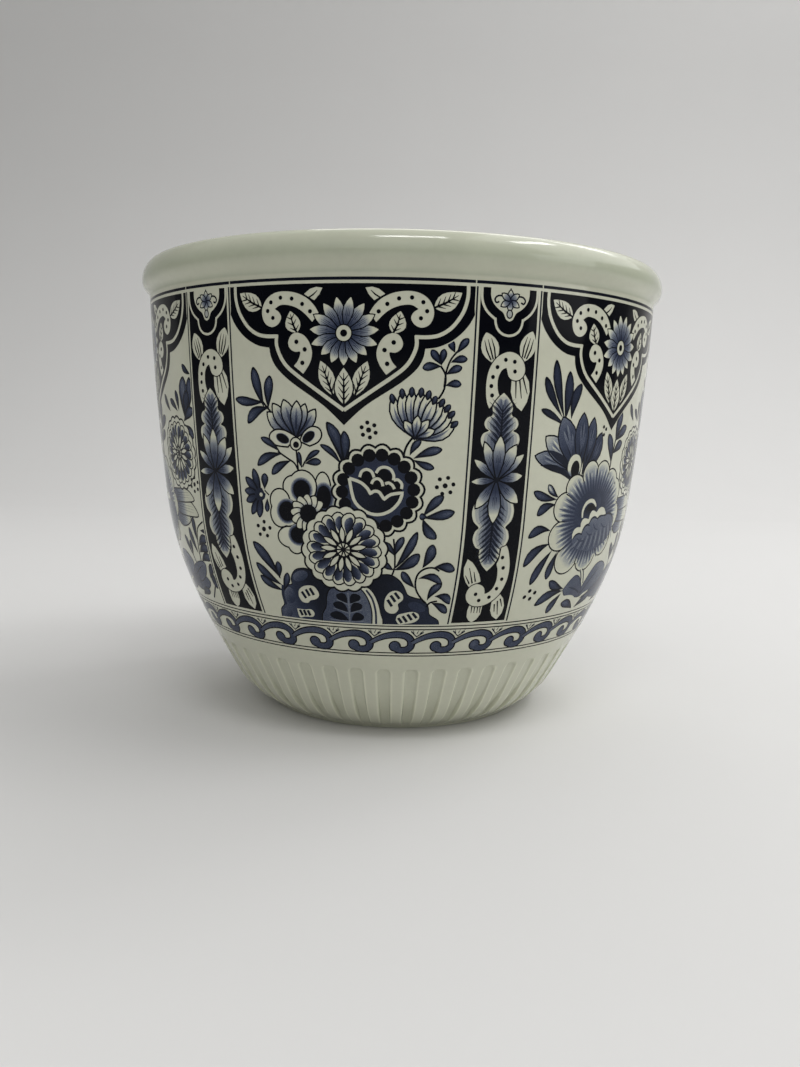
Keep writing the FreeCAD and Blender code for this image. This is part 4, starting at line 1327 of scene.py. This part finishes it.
def draw_lily_panel():
    """The panel with a lily, a blue peony and a chrysanthemum. Its right part is partly a guess."""
    sheet = panel_sheet()
    sheet.smooth([(3, 105.6), (3.4, 110), (4.8, 117.4)], 0.6)
    leaves(sheet, [((3.4, 107.8), (-1.2, 119.6), 4.4, -0.8, 0.5), ((3.8, 112), (11.4, 116.4), 4, 0.5, 0.5),
                   ((4.6, 116.8), (14.4, 122.4), 4.2, 0.4, 0.5),
                   ((4.8, 116.6), (8.2, 127.8), 4.8, 0.6, 0.5)])
    lily(sheet)
    leaves(sheet, [
        ((42.6, 138), (36.8, 141.6), 2.8, 0.5, 0.3), ((35.6, 122.4), (36.8, 137.4), 6.4, 0.5, 0.62),
        ((37.6, 122.4), (41.8, 137), 4.8, -0.4, 0.5), ((36.2, 121.6), (39.2, 132.4), 4.6, 0.3, 0.3),
        ((30, 124.4), (23, 129), 2.9, -0.4, 0.3), ((31.2, 124.6), (29.2, 132.4), 3, -0.3, 0.3),
        ((34.6, 120.6), (42.6, 125.4), 4.2, 0.6), ((34.6, 119.4), (41.2, 114.6), 3.6, 0.7),
        ((22.4, 124.4), (16.2, 131), 3, 0.3, 0.3),
    ])
    side_petals(sheet)
    cloud_peony(sheet)
    chrysanthemum(sheet, (27, 108.6), 0.9)
    rosette(sheet, (37.6, 97.2), 2.7, 80)
    leaves(sheet, [((-27.2, 96), (-38.6, 99), 3.4, 0.8, 0.5), ((-27.4, 94), (-35.8, 90.4), 3.8, -1.2, 0.45),
                   ((-28, 84.4), (-38, 82.4), 3.9, -1.7, 0.4), ((-26.8, 79.6), (-37, 71.4), 4.2, -2, 0.45),
                   ((-25, 77.2), (-31.2, 64), 3.9, -1, 0.4), ((-22.4, 76.2), (-24, 65.6), 3.6, -0.5, 0.42)])
    dotted(sheet, [(-30, 61.7), (-27.2, 60.8), (-31.5, 59.4), (-28.6, 58.5)], 0.8)
    foliage(sheet)
    leaves(sheet, [((29.4, 69.6), (26.4, 79.8), 3.6, 0.4, 0.4), ((31.6, 75), (32.1, 84.6), 3.3, 0.2, 0.4),
                   ((32.2, 73), (40.4, 77), 3.8, 0.8), ((31.2, 70.2), (39.8, 72.8), 3.9, 1),
                   ((30.6, 66.6), (39.6, 69.2), 3.8, 1), ((36.2, 79.4), (40.8, 79), 1.8, 0.2, 0.3),
                   ((22.4, 68.6), (19.4, 76), 3.2, -0.4, 0.4), ((23.6, 68.4), (24.8, 74.6), 2.8, 0.2, 0.4)])
    sheet.smooth([(29.6, 66.5), (31.4, 73), (34.4, 80), (40.6, 83.6)], 0.5)
    sheet.smooth([(24, 64), (23.4, 67.6), (22.4, 70)], 0.5)
    return sheet


# The print: drawn shapes are cut out of flat sheets and laid round the pot


def divided(outline, step):
    """The outline with points at most that far apart, so that it can bend round the pot."""
    made = []
    for start, end in zip(outline, outline[1:] + outline[:1]):
        count = max(1, ceil(abs(end[0] - start[0]) / step), ceil(abs(end[1] - start[1]) / (2 * step)))
        made += [ahead(start, end, number / count) for number in range(count)]
    return made


def encloses(outline, spots):
    """Which of the spots lie in the outline, by how often it winds round them."""
    starts = np.array(outline)[:, None, :]
    ends = np.roll(starts, -1, axis=0)
    run = ends - starts
    away = spots[None, :, :] - starts
    side = run[..., 0] * away[..., 1] - away[..., 0] * run[..., 1]
    below = starts[..., 1] <= spots[:, 1]
    above = ends[..., 1] > spots[:, 1]
    rising = (below & above & (side > 0)).sum(axis=0)
    falling = (~below & ~above & (side < 0)).sum(axis=0)
    return rising != falling


def cutting_lines(shapes, grid):
    """The points and edges of all outlines, with the points of a grid over the first."""
    points = []
    edges = []
    for outline, tone in shapes:
        first = len(points)
        points.extend(outline)
        count = len(outline)
        edges.extend((first + number, first + (number + 1) % count) for number in range(count))
    border = np.array(shapes[0][0])
    low, high = border.min(axis=0) + grid / 2, border.max(axis=0)
    points.extend((x, z) for x in np.arange(low[0], high[0], grid) for z in np.arange(low[1], high[1], grid))
    return points, edges


def last_drawn(shapes, spots):
    """The number of the last shape that each spot lies in, or -1 where it lies outside the first."""
    top = np.zeros(len(spots), dtype=int)
    for number, (outline, tone) in enumerate(shapes):
        corners = np.array(outline)
        least, most = corners.min(axis=0), corners.max(axis=0)
        near = np.flatnonzero(((spots >= least) & (spots <= most)).all(axis=1))
        top[near[encloses(outline, spots[near])]] = number
    top[~encloses(shapes[0][0], spots)] = -1
    return top


def cut_sheet(sheet):
    """The inked triangles of a sheet, as places, triangles and the tone at each corner.
    Where shapes lie on each other, the one drawn last has its ink."""
    grid = sizes().print_grid / MM
    shapes = [(divided(outline, grid), tone) for outline, tone in sheet.shapes]
    points, edges = cutting_lines(shapes, grid)
    made = delaunay_2d_cdt([Vector(point) for point in points], edges, [], 0, 1e-5, False)
    places, triangles = np.array(made[0]), np.array(made[2])
    top = last_drawn(shapes, places[triangles].mean(axis=1))
    bare = np.array([tone is BARE for outline, tone in shapes])
    kept = np.flatnonzero((top >= 0) & ~bare[top])
    tones = []
    for triangle, number in zip(triangles[kept], top[kept]):
        tone = shapes[number][1]
        tones.append([tone(places[corner]) if callable(tone) else tone for corner in triangle])
    used, inked = np.unique(triangles[kept], return_inverse=True)
    return places[used], inked.reshape(-1, 3), np.array(tones)


def triangle_mesh(name, points, triangles):
    """A mesh of triangles, which keeps every point and its order."""
    mesh = bpy.data.meshes.new(name)
    mesh.vertices.add(len(points))
    mesh.vertices.foreach_set("co", points.reshape(-1))
    mesh.loops.add(triangles.size)
    mesh.loops.foreach_set("vertex_index", triangles.reshape(-1))
    mesh.polygons.add(len(triangles))
    mesh.polygons.foreach_set("loop_start", np.arange(0, triangles.size, 3))
    mesh.update(calc_edges=True)
    return mesh


def lay_round(name, cut, middle, radius=None):
    """A print, bent round the pot with its middle at an angle. A radius keeps its ends upright."""
    places, triangles, tones = cut
    spots = np.array(wall_spots(FINE_STEPS))
    wall = np.interp(places[:, 1], spots[:, 1], spots[:, 0])
    lean = np.radians(np.interp(places[:, 1], spots[:, 1], spots[:, 2]))
    angle = middle + places[:, 0] / (radius or wall)
    normals = np.stack([np.cos(lean) * np.cos(angle), np.cos(lean) * np.sin(angle), -np.sin(lean)], axis=1)
    points = np.stack([wall * np.cos(angle), wall * np.sin(angle), places[:, 1]], axis=1) * MM
    points += normals * sizes().print_lift
    mesh = triangle_mesh(name, points, triangles)
    low, high = places.min(axis=0), places.max(axis=0)
    flat = ((places - low) / (high - low))[triangles]
    mesh.uv_layers.new(name="OFBake").data.foreach_set("uv", flat.reshape(-1))
    mesh.attributes.new("tone", "FLOAT", "CORNER").data.foreach_set("value", tones.reshape(-1))
    mesh.shade_smooth()
    mesh.normals_split_custom_set_from_vertices(normals.tolist())
    return link(name, mesh)


def side_of_panel(height):
    """Half the width of a panel at a height."""
    spots = wall_spots()
    radius = np.interp(height, [spot[1] for spot in spots], [spot[0] for spot in spots])
    return radius * REPEAT_ANGLE / 2 - STRIP_HALF - PRINT_JOINT


# Finishes

# The two palest inks and the tone at which the palest lies, the index of refraction of ink under the
# glaze, and how strongly clouds colour glaze and ink
PALE_INK = (0.225, 0.252, 0.285)
FAINT_INK = (0.42, 0.437, 0.40)
FAINT = 0.92
INK_IOR = 1.2
CLOUDING = 0.16
# The ink of each print: its name, how strongly dots break it up and how far it is worn
INKS = {
    "dark_blue_print": ("dark_blue_ink", 0.22, 0.12),
    "blue_flower_print": ("blue_flower_ink", 0.42, 0.16),
}


def new_group(name, inputs, outputs):
    """A node group with named sockets. Inputs are (name, default) and outputs (name, socket type)."""
    group = bpy.data.node_groups.new(name, "ShaderNodeTree")
    for socket, default in inputs:
        made = group.interface.new_socket(name=socket, in_out="INPUT", socket_type="NodeSocketFloat")
        made.default_value = default
    for socket, kind in outputs:
        group.interface.new_socket(name=socket, in_out="OUTPUT", socket_type=kind)
    return group


def add(tree, kind, settings=(), links=()):
    """A node with its settings and its links. A settings key that is a socket's name sets that socket."""
    node = tree.nodes.new(kind)
    for key, value in dict(settings).items():
        if key in node.inputs:
            node.inputs[key].default_value = value
        else:
            setattr(node, key, value)
    for key, source in dict(links).items():
        tree.links.new(source, node.inputs[key])
    return node


def reckon(tree, operation, first, second=0.0, clamp=False):
    """A sum of two values, each a socket or a number."""
    node = add(tree, "ShaderNodeMath", {"operation": operation, "use_clamp": clamp})
    for slot, value in zip(node.inputs, (first, second)):
        if isinstance(value, (int, float)):
            slot.default_value = value
        else:
            tree.links.new(value, slot)
    return node.outputs[0]


def blend(tree, share, first, second):
    """A colour between two colours, each a socket or a colour."""
    node = add(tree, "ShaderNodeMix", {"data_type": "RGBA"})
    for slot, value in zip((node.inputs[0], node.inputs[6], node.inputs[7]), (share, first, second)):
        if isinstance(value, bpy.types.NodeSocket):
            tree.links.new(value, slot)
        else:
            slot.default_value = value
    return node.outputs[2]


def colour(value, factor=1.0):
    """A colour with its alpha, lightened or darkened by a factor."""
    return (*(part * factor for part in value), 1.0)


def fired_surface():
    """What fire leaves on the whole pot: cloudy tone, fine mottle, specks, pinholes and a gentle wave."""
    name = "Fired surface"
    if name in bpy.data.node_groups:
        return bpy.data.node_groups[name]
    tree = new_group(
        name,
        [("Cloud size", 40.0), ("Mottle size", 420.0), ("Speck spacing", 160.0), ("Speck share", 0.05)],
        [("Cloud", "NodeSocketFloat"), ("Mottle", "NodeSocketFloat"), ("Specks", "NodeSocketFloat"),
         ("Height", "NodeSocketFloat")],
    )
    given = add(tree, "NodeGroupInput").outputs
    place = add(tree, "ShaderNodeTexCoord").outputs["Object"]
    cloud = add(tree, "ShaderNodeTexNoise", {"Detail": 3.0}, {"Vector": place, "Scale": given["Cloud size"]})
    mottle = add(tree, "ShaderNodeTexNoise", {"Detail": 4.0},
                 {"Vector": place, "Scale": given["Mottle size"]})
    cells = add(tree, "ShaderNodeTexVoronoi", {}, {"Vector": place, "Scale": given["Speck spacing"]})
    chosen = add(tree, "ShaderNodeSeparateColor", {}, {"Color": cells.outputs["Color"]})
    lucky = reckon(tree, "LESS_THAN", chosen.outputs[0], given["Speck share"])
    reach = reckon(tree, "MULTIPLY", chosen.outputs[1], 0.07)
    near = reckon(tree, "SUBTRACT", reach, cells.outputs["Distance"])
    dark = reckon(tree, "MULTIPLY", near, 40.0, clamp=True)
    specks = reckon(tree, "MULTIPLY", dark, lucky)
    swell = add(tree, "ShaderNodeTexNoise", {"Scale": 75.0, "Detail": 1.0}, {"Vector": place})
    dip = reckon(tree, "MULTIPLY", specks, -0.35)
    height = reckon(tree, "ADD", swell.outputs["Fac"], dip)
    out = add(tree, "NodeGroupOutput").inputs
    tree.links.new(cloud.outputs["Fac"], out["Cloud"])
    tree.links.new(mottle.outputs["Fac"], out["Mottle"])
    tree.links.new(specks, out["Specks"])
    tree.links.new(height, out["Height"])
    return tree


def printed_tone():
    """The grain of a transfer print: the drawn tone, broken up by fine dots and worn thin in places."""
    name = "Printed tone"
    if name in bpy.data.node_groups:
        return bpy.data.node_groups[name]
    inputs = [("Tone", 0.0), ("Dot size", 3600.0), ("Dots", 0.3), ("Wear", 0.1)]
    tree = new_group(name, inputs, [("Tone", "NodeSocketFloat")])
    given = add(tree, "NodeGroupInput").outputs
    place = add(tree, "ShaderNodeTexCoord").outputs["Object"]
    dots = add(tree, "ShaderNodeTexNoise", {"Detail": 1.0}, {"Vector": place, "Scale": given["Dot size"]})
    patches = add(tree, "ShaderNodeTexNoise", {"Scale": 170.0, "Detail": 3.0}, {"Vector": place})
    middle = reckon(tree, "MULTIPLY", given["Tone"], reckon(tree, "SUBTRACT", 1.0, given["Tone"]))
    weight = reckon(tree, "ADD", reckon(tree, "MULTIPLY", middle, 4.0), 0.12)
    grain = reckon(tree, "MULTIPLY", reckon(tree, "SUBTRACT", dots.outputs["Fac"], 0.5), given["Dots"])
    worn = reckon(tree, "MULTIPLY", reckon(tree, "SUBTRACT", patches.outputs["Fac"], 0.5), given["Wear"])
    change = reckon(tree, "MULTIPLY", reckon(tree, "ADD", grain, worn), weight)
    out = add(tree, "NodeGroupOutput").inputs
    tree.links.new(reckon(tree, "ADD", given["Tone"], change, clamp=True), out["Tone"])
    return tree


def placed(tree, group, settings=()):
    """A node group in a material, with its own values."""
    node = tree.nodes.new("ShaderNodeGroup")
    node.node_tree = group
    for key, value in dict(settings).items():
        node.inputs[key].default_value = value
    return node


def new_material(name, roughness, ior=1.5):
    """An empty material with its shader, as the tree and the shader node."""
    material = bpy.data.materials.new(name)
    material.use_nodes = True
    tree = material.node_tree
    shader = tree.nodes["Principled BSDF"]
    shader.inputs["Roughness"].default_value = roughness
    shader.inputs["IOR"].default_value = ior
    return material, tree, shader


def clouded(tree, surface, base, amount):
    """A colour that grows lighter and darker with the fired surface's clouds and mottle."""
    cloud = reckon(tree, "MULTIPLY", reckon(tree, "SUBTRACT", surface.outputs["Cloud"], 0.5), amount)
    mottle = reckon(tree, "MULTIPLY", reckon(tree, "SUBTRACT", surface.outputs["Mottle"], 0.5), amount * 0.5)
    value = reckon(tree, "ADD", reckon(tree, "ADD", cloud, mottle), 1.0)
    node = add(tree, "ShaderNodeHueSaturation", {}, {"Value": value})
    if isinstance(base, bpy.types.NodeSocket):
        tree.links.new(base, node.inputs["Color"])
    else:
        node.inputs["Color"].default_value = base
    return node.outputs["Color"]


def wavy(tree, shader, strength, distance, height):
    """Small waves or grain in the surface, that far from their lowest to their highest."""
    bump = add(tree, "ShaderNodeBump", {"Strength": strength, "Distance": distance}, {"Height": height})
    tree.links.new(bump.outputs["Normal"], shader.inputs["Normal"])


def rough_glaze(tree, surface, shader):
    """The gloss: slightly duller where the mottle is strong, and the wave of a fired coat."""
    change = reckon(tree, "MULTIPLY", surface.outputs["Mottle"], 0.09)
    rough = reckon(tree, "ADD", change, colours().glaze_roughness - 0.045)
    tree.links.new(reckon(tree, "ADD", rough, surface.outputs["Specks"]), shader.inputs["Roughness"])
    wavy(tree, shader, 0.1, 0.0009, surface.outputs["Height"])


def glaze_finish():
    """White glaze with specks: darker and greener in the flutes, as pooled glaze and painted shade, and on
    the rim, as painted shade, with a painted highlight along the flutes' edges.
    """
    name = "clear_glaze_on_white"
    if name in bpy.data.materials:
        return bpy.data.materials[name]
    material, tree, shader = new_material(name, colours().glaze_roughness)
    surface = placed(tree, fired_surface())
    thick = add(tree, "ShaderNodeAttribute", {"attribute_name": "thick"}).outputs["Fac"]
    ridge = add(tree, "ShaderNodeAttribute", {"attribute_name": "ridge"}).outputs["Fac"]
    # Darker where glaze pools and shade is painted in the flutes, and where shade is painted on the rim
    base = blend(tree, thick, colour(colours().glaze), colour(colours().pooled_and_shaded))
    # Painted highlight: lighter than the glaze along the flutes' edges
    base = blend(tree, reckon(tree, "MULTIPLY", ridge, 0.6), base, colour(colours().glaze, 1.35))
    base = clouded(tree, surface, base, CLOUDING)
    speck = reckon(tree, "MULTIPLY", surface.outputs["Specks"], 0.6)
    base = blend(tree, speck, base, colour(colours().pooled_and_shaded, 0.3))
    tree.links.new(base, shader.inputs["Base Color"])
    rough_glaze(tree, surface, shader)
    return material


def ink_finish(print_slot):
    """Printed ink under the gloss: from near black over blue and slate to bare glaze, by the drawn tone."""
    name, dots, wear = INKS[print_slot]
    if name in bpy.data.materials:
        return bpy.data.materials[name]
    material, tree, shader = new_material(name, colours().glaze_roughness, INK_IOR)
    surface = placed(tree, fired_surface())
    drawn = add(tree, "ShaderNodeAttribute", {"attribute_name": "tone"}).outputs["Fac"]
    tone = placed(tree, printed_tone(), {"Dots": dots, "Wear": wear})
    tree.links.new(drawn, tone.inputs["Tone"])
    ramp = add(tree, "ShaderNodeValToRGB", {}, {"Fac": tone.outputs["Tone"]})
    steps = [(INK, colours().ink), (BLUE, colours().blue), (SLATE, colours().slate), (PALE, PALE_INK),
             (FAINT, FAINT_INK), (1.0, colours().glaze)]
    stops = ramp.color_ramp.elements
    while len(stops) < len(steps):
        stops.new(0.5)
    for stop, (place, value) in zip(stops, steps):
        stop.position = place
        stop.color = colour(value)
    tree.links.new(clouded(tree, surface, ramp.outputs["Color"], CLOUDING), shader.inputs["Base Color"])
    rough_glaze(tree, surface, shader)
    return material


def clay_finish():
    """Bare fired clay: matt, grainy and a little stained."""
    name = "fired_clay_bare"
    if name in bpy.data.materials:
        return bpy.data.materials[name]
    material, tree, shader = new_material(name, 0.85)
    grains = {"Mottle size": 1500.0, "Speck spacing": 700.0, "Speck share": 0.3}
    surface = placed(tree, fired_surface(), grains)
    base = clouded(tree, surface, colour(colours().clay), 0.5)
    speck = reckon(tree, "MULTIPLY", surface.outputs["Specks"], 0.5)
    tree.links.new(blend(tree, speck, base, colour(colours().clay, 0.4)), shader.inputs["Base Color"])
    wavy(tree, shader, 0.5, 0.0003, surface.outputs["Mottle"])
    return material


def ground_finish():
    """The matt pale ground and backdrop."""
    material, tree, shader = new_material("studio_ground", 0.9)
    place = add(tree, "ShaderNodeTexCoord").outputs["Object"]
    grain = add(tree, "ShaderNodeTexNoise", {"Scale": 6.0, "Detail": 5.0}, {"Vector": place})
    shade = reckon(tree, "MULTIPLY", grain.outputs["Fac"], 0.12)
    base = blend(tree, shade, colour(studio().ground), colour(studio().ground, 0.8))
    tree.links.new(base, shader.inputs["Base Color"])
    return material


def dress(piece, material, slot, *nodes):
    """Gives a piece its finish, its body and the nodes that it stands for."""
    piece.data.materials.append(material)
    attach(piece, BODY)
    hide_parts(*nodes)


# The studio

# The lights: where each stands, seen from the camera's side, and how wide and high it is
LIGHTS = {
    "key": ((1.0, 0.1, 1.2), (1.6, 1.4)),
    "back": ((0.1, 0.8, 1.2), (0.8, 0.5)),
    "side": ((0.8, -0.15, 1.3), (0.5, 0.14)),
    "top": ((0.06, -0.66, 1.36), (0.5, 0.14)),
    "low": ((1.2, -0.5, 0.4), (0.7, 0.5)),
    "wall": ((1.4, 1.1, 1.9), (0.8, 0.8)),
    "front": ((-0.4, -1.7, 1.2), (1.6, 1.2)),
}
POT_MIDDLE = (0.0, 0.0, 0.09)
WALL_MIDDLE = (1.0, 1.66, 1.4)


def make_ground():
    """A floor that curves up into a backdrop behind the pot."""
    name = "studio_floor"
    half, run, rise, bend = 2.4, 1.5, 2.6, 0.9
    line = [(-half, 0.0), (0.0, 0.0), (run * 0.5, 0.0)]
    for step in range(13):
        angle = radians(90 * step / 12)
        line.append((run * 0.5 + bend * sin(angle) + 0.01, bend * (1 - cos(angle))))
    line.append((line[-1][0], rise))
    points = [(side * half * 1.4, along, up) for along, up in line for side in (-1, 1)]
    quads = [(2 * n, 2 * n + 1, 2 * n + 3, 2 * n + 2) for n in range(len(line) - 1)]
    mesh = bpy.data.meshes.new(name)
    mesh.from_pydata(points, [], quads)
    mesh.shade_smooth()
    ground = link(name, mesh)
    ground.rotation_euler[2] = studio().camera_round
    ground.data.materials.append(ground_finish())


def make_light(name, place, target, size, power):
    """A soft rectangular light that looks at a point."""
    light = bpy.data.lights.new(name, "AREA")
    light.shape = "RECTANGLE"
    light.size, light.size_y = size
    light.energy = power
    lamp = bpy.data.objects.new(name, light)
    lamp.location = place
    lamp.rotation_euler = (target - place).to_track_quat("-Z", "Y").to_euler()
    bpy.context.scene.collection.objects.link(lamp)


def make_camera():
    """The camera, which looks slightly down at the pot and is rolled a little."""
    pitch, yaw, roll = radians(-7.27), radians(0.19), radians(1.25)
    forward = Vector((sin(yaw) * cos(pitch), cos(yaw) * cos(pitch), sin(pitch)))
    right = Vector((cos(yaw), -sin(yaw), 0.0))
    up = right.cross(forward)
    sideways = right * cos(roll) + up * sin(roll)
    upward = -right * sin(roll) + up * cos(roll)
    turned = Matrix((sideways, upward, -forward)).transposed().to_4x4()
    start = Matrix.Translation((0.0, -studio().camera_distance, studio().camera_height))
    lens = bpy.data.cameras.new("camera")
    lens.sensor_fit = "VERTICAL"
    lens.sensor_height = 36.0
    lens.lens = studio().camera_lens
    lens.clip_start = 0.01
    camera = bpy.data.objects.new("camera", lens)
    camera.matrix_world = Matrix.Rotation(studio().camera_round, 4, "Z") @ start @ turned
    bpy.context.scene.collection.objects.link(camera)
    bpy.context.scene.camera = camera


def make_world():
    """Even light all round, which grows from the horizon to overhead."""
    world = bpy.data.worlds.new("studio_air")
    world.use_nodes = True
    tree = world.node_tree
    way = add(tree, "ShaderNodeTexCoord").outputs["Generated"]
    up = add(tree, "ShaderNodeSeparateXYZ", {}, {"Vector": way}).outputs["Z"]
    low, high = studio().low_fill, studio().high_fill
    strength = reckon(tree, "ADD", reckon(tree, "MULTIPLY", up, high - low), low)
    tree.links.new(reckon(tree, "MAXIMUM", strength, low), tree.nodes["Background"].inputs["Strength"])
    tree.nodes["Background"].inputs["Color"].default_value = (1.0, 1.0, 0.99, 1.0)
    bpy.context.scene.world = world


# Operators


def check_nodes(*nodes):
    """Stops an operator whose nodes are missing."""
    for node in nodes:
        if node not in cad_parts:
            raise RuntimeError(f"the packed model has no node {node}")


class POT_OT_clay(bpy.types.Operator):
    """Gives the clay body its bare fired finish"""

    bl_idname = "pot.clay"
    bl_label = "Clay body"

    def execute(self, context):
        check_nodes("clay_body")
        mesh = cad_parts["clay_body"].data
        mesh.materials.clear()
        mesh.materials.append(clay_finish())
        return {"FINISHED"}


class POT_OT_glaze(bpy.types.Operator):
    """Lays the glaze over the outside with its flutes, over the inside and in the hollow under the floor"""

    bl_idname = "pot.glaze"
    bl_label = "Glaze coats"

    def execute(self, context):
        check_nodes("glaze_outside", "glaze_inside", "glaze_underside")
        thick = sizes().glaze_thickness / MM
        wall = wall_spots()
        rim = rim_spots(neck_spot())[1:]
        lip = (wall[0][0] - LIP_INSET, LIP_HEIGHT, 30.0)
        outside = [lip] + wall + rim
        # On the rim the darker glaze colour is painted shade; the wall gets none
        pooled_and_shaded = [0.0] * (len(wall) + 1) + [rim_painted_shade(lean) for radius, height, lean in rim]
        angles = flute_angles()
        plain = np.radians(np.arange(0, 360, 1.5))
        coats = [
            ("glaze_coat_outside", "glaze_outside", outside, angles, flute_depths(outside, angles), pooled_and_shaded),
            ("glaze_coat_inside", "glaze_inside", inside_spots(), plain),
            ("glaze_coat_underside", "glaze_underside", beside(hollow_spots(), thick), plain),
        ]
        for name, node, spots, *shape in coats:
            dress(revolve(name, spots, thick, *shape), glaze_finish(), "clear_glaze", node)
        return {"FINISHED"}


def lay_prints(kind, sheets, slot, offset=0.0, radius=None):
    """Lays one print of a kind in each repeat, taking the sheets in turn."""
    nodes = [f"{kind}_print_{number + 1}" for number in range(REPEATS)]
    check_nodes(*nodes)
    cuts = [cut_sheet(sheet) for sheet in sheets]
    for number, node in enumerate(nodes):
        angle = FIRST_PANEL + number * REPEAT_ANGLE + offset
        piece = lay_round(f"{kind}_ink_{number + 1}", cuts[number % len(cuts)], angle, radius)
        dress(piece, ink_finish(slot), slot, node)


class POT_OT_lambrequins(bpy.types.Operator):
    """Prints the six dark scalloped lambrequins under the rim"""

    bl_idname = "pot.lambrequins"
    bl_label = "Lambrequins"

    def execute(self, context):
        lay_prints("lambrequin", [draw_lambrequin()], "dark_blue_print")
        return {"FINISHED"}


class POT_OT_panels(bpy.types.Operator):
    """Prints the six flower panels, in two designs by turns"""

    bl_idname = "pot.panels"
    bl_label = "Flower panels"

    def execute(self, context):
        lay_prints("panel", [draw_garden_panel(), draw_lily_panel()], "blue_flower_print")
        return {"FINISHED"}


class POT_OT_pilasters(bpy.types.Operator):
    """Prints the six upright strips between the panels"""

    bl_idname = "pot.pilasters"
    bl_label = "Pilasters"

    def execute(self, context):
        lay_prints("pilaster", [draw_pilaster()], "dark_blue_print", REPEAT_ANGLE / 2)
        return {"FINISHED"}


class POT_OT_borders(bpy.types.Operator):
    """Prints the wave border above the flutes"""

    bl_idname = "pot.borders"
    bl_label = "Wave border"

    def execute(self, context):
        lay_prints("wave_border", [draw_border()], "blue_flower_print", radius=BORDER_RADIUS)
        return {"FINISHED"}


class POT_OT_studio(bpy.types.Operator):
    """Sets up the floor, the soft lights and the camera"""

    bl_idname = "pot.studio"
    bl_label = "Studio"

    def execute(self, context):
        make_ground()
        make_world()
        make_camera()
        view = Matrix.Rotation(studio().camera_round, 3, "Z")
        for name, (place, size) in LIGHTS.items():
            target = WALL_MIDDLE if name == "wall" else POT_MIDDLE
            power = getattr(studio(), f"{name}_power")
            make_light(f"{name}_light", view @ Vector(place), view @ Vector(target), size, power)
        context.scene.view_settings.view_transform = "Standard"
        return {"FINISHED"}


PIECE_OPERATORS = (POT_OT_clay, POT_OT_glaze, POT_OT_lambrequins, POT_OT_panels, POT_OT_pilasters,
                   POT_OT_borders, POT_OT_studio)


class POT_PT_sidebar(bpy.types.Panel):
    """Lists the sizes, the colours and the steps"""

    bl_idname = "POT_PT_sidebar"
    bl_label = "Delft flower pot"
    bl_space_type = "VIEW_3D"
    bl_region_type = "UI"
    bl_category = "Flower Pot"

    def draw(self, context):
        for title, group in {"Sizes": sizes(), "Colours": colours(), "Studio": studio()}.items():
            box = self.layout.box()
            box.label(text=title)
            for name in type(group).__annotations__:
                box.prop(group, name)
        for step in PIECE_OPERATORS:
            self.layout.operator(step.bl_idname)


CLASSES = (PotSizes, PotColours, StudioSettings, *PIECE_OPERATORS, POT_PT_sidebar)


def register():
    for kind in CLASSES:
        bpy.utils.register_class(kind)
    bpy.types.Scene.pot_sizes = bpy.props.PointerProperty(type=PotSizes)
    bpy.types.Scene.pot_colours = bpy.props.PointerProperty(type=PotColours)
    bpy.types.Scene.pot_studio = bpy.props.PointerProperty(type=StudioSettings)


def unregister():
    del bpy.types.Scene.pot_sizes
    del bpy.types.Scene.pot_colours
    del bpy.types.Scene.pot_studio
    for kind in reversed(CLASSES):
        bpy.utils.unregister_class(kind)


def main():
    register()
    bpy.ops.pot.clay()
    bpy.ops.pot.glaze()
    bpy.ops.pot.lambrequins()
    bpy.ops.pot.panels()
    bpy.ops.pot.pilasters()
    bpy.ops.pot.borders()
    bpy.ops.pot.studio()


if __name__ == "__main__":
    main()
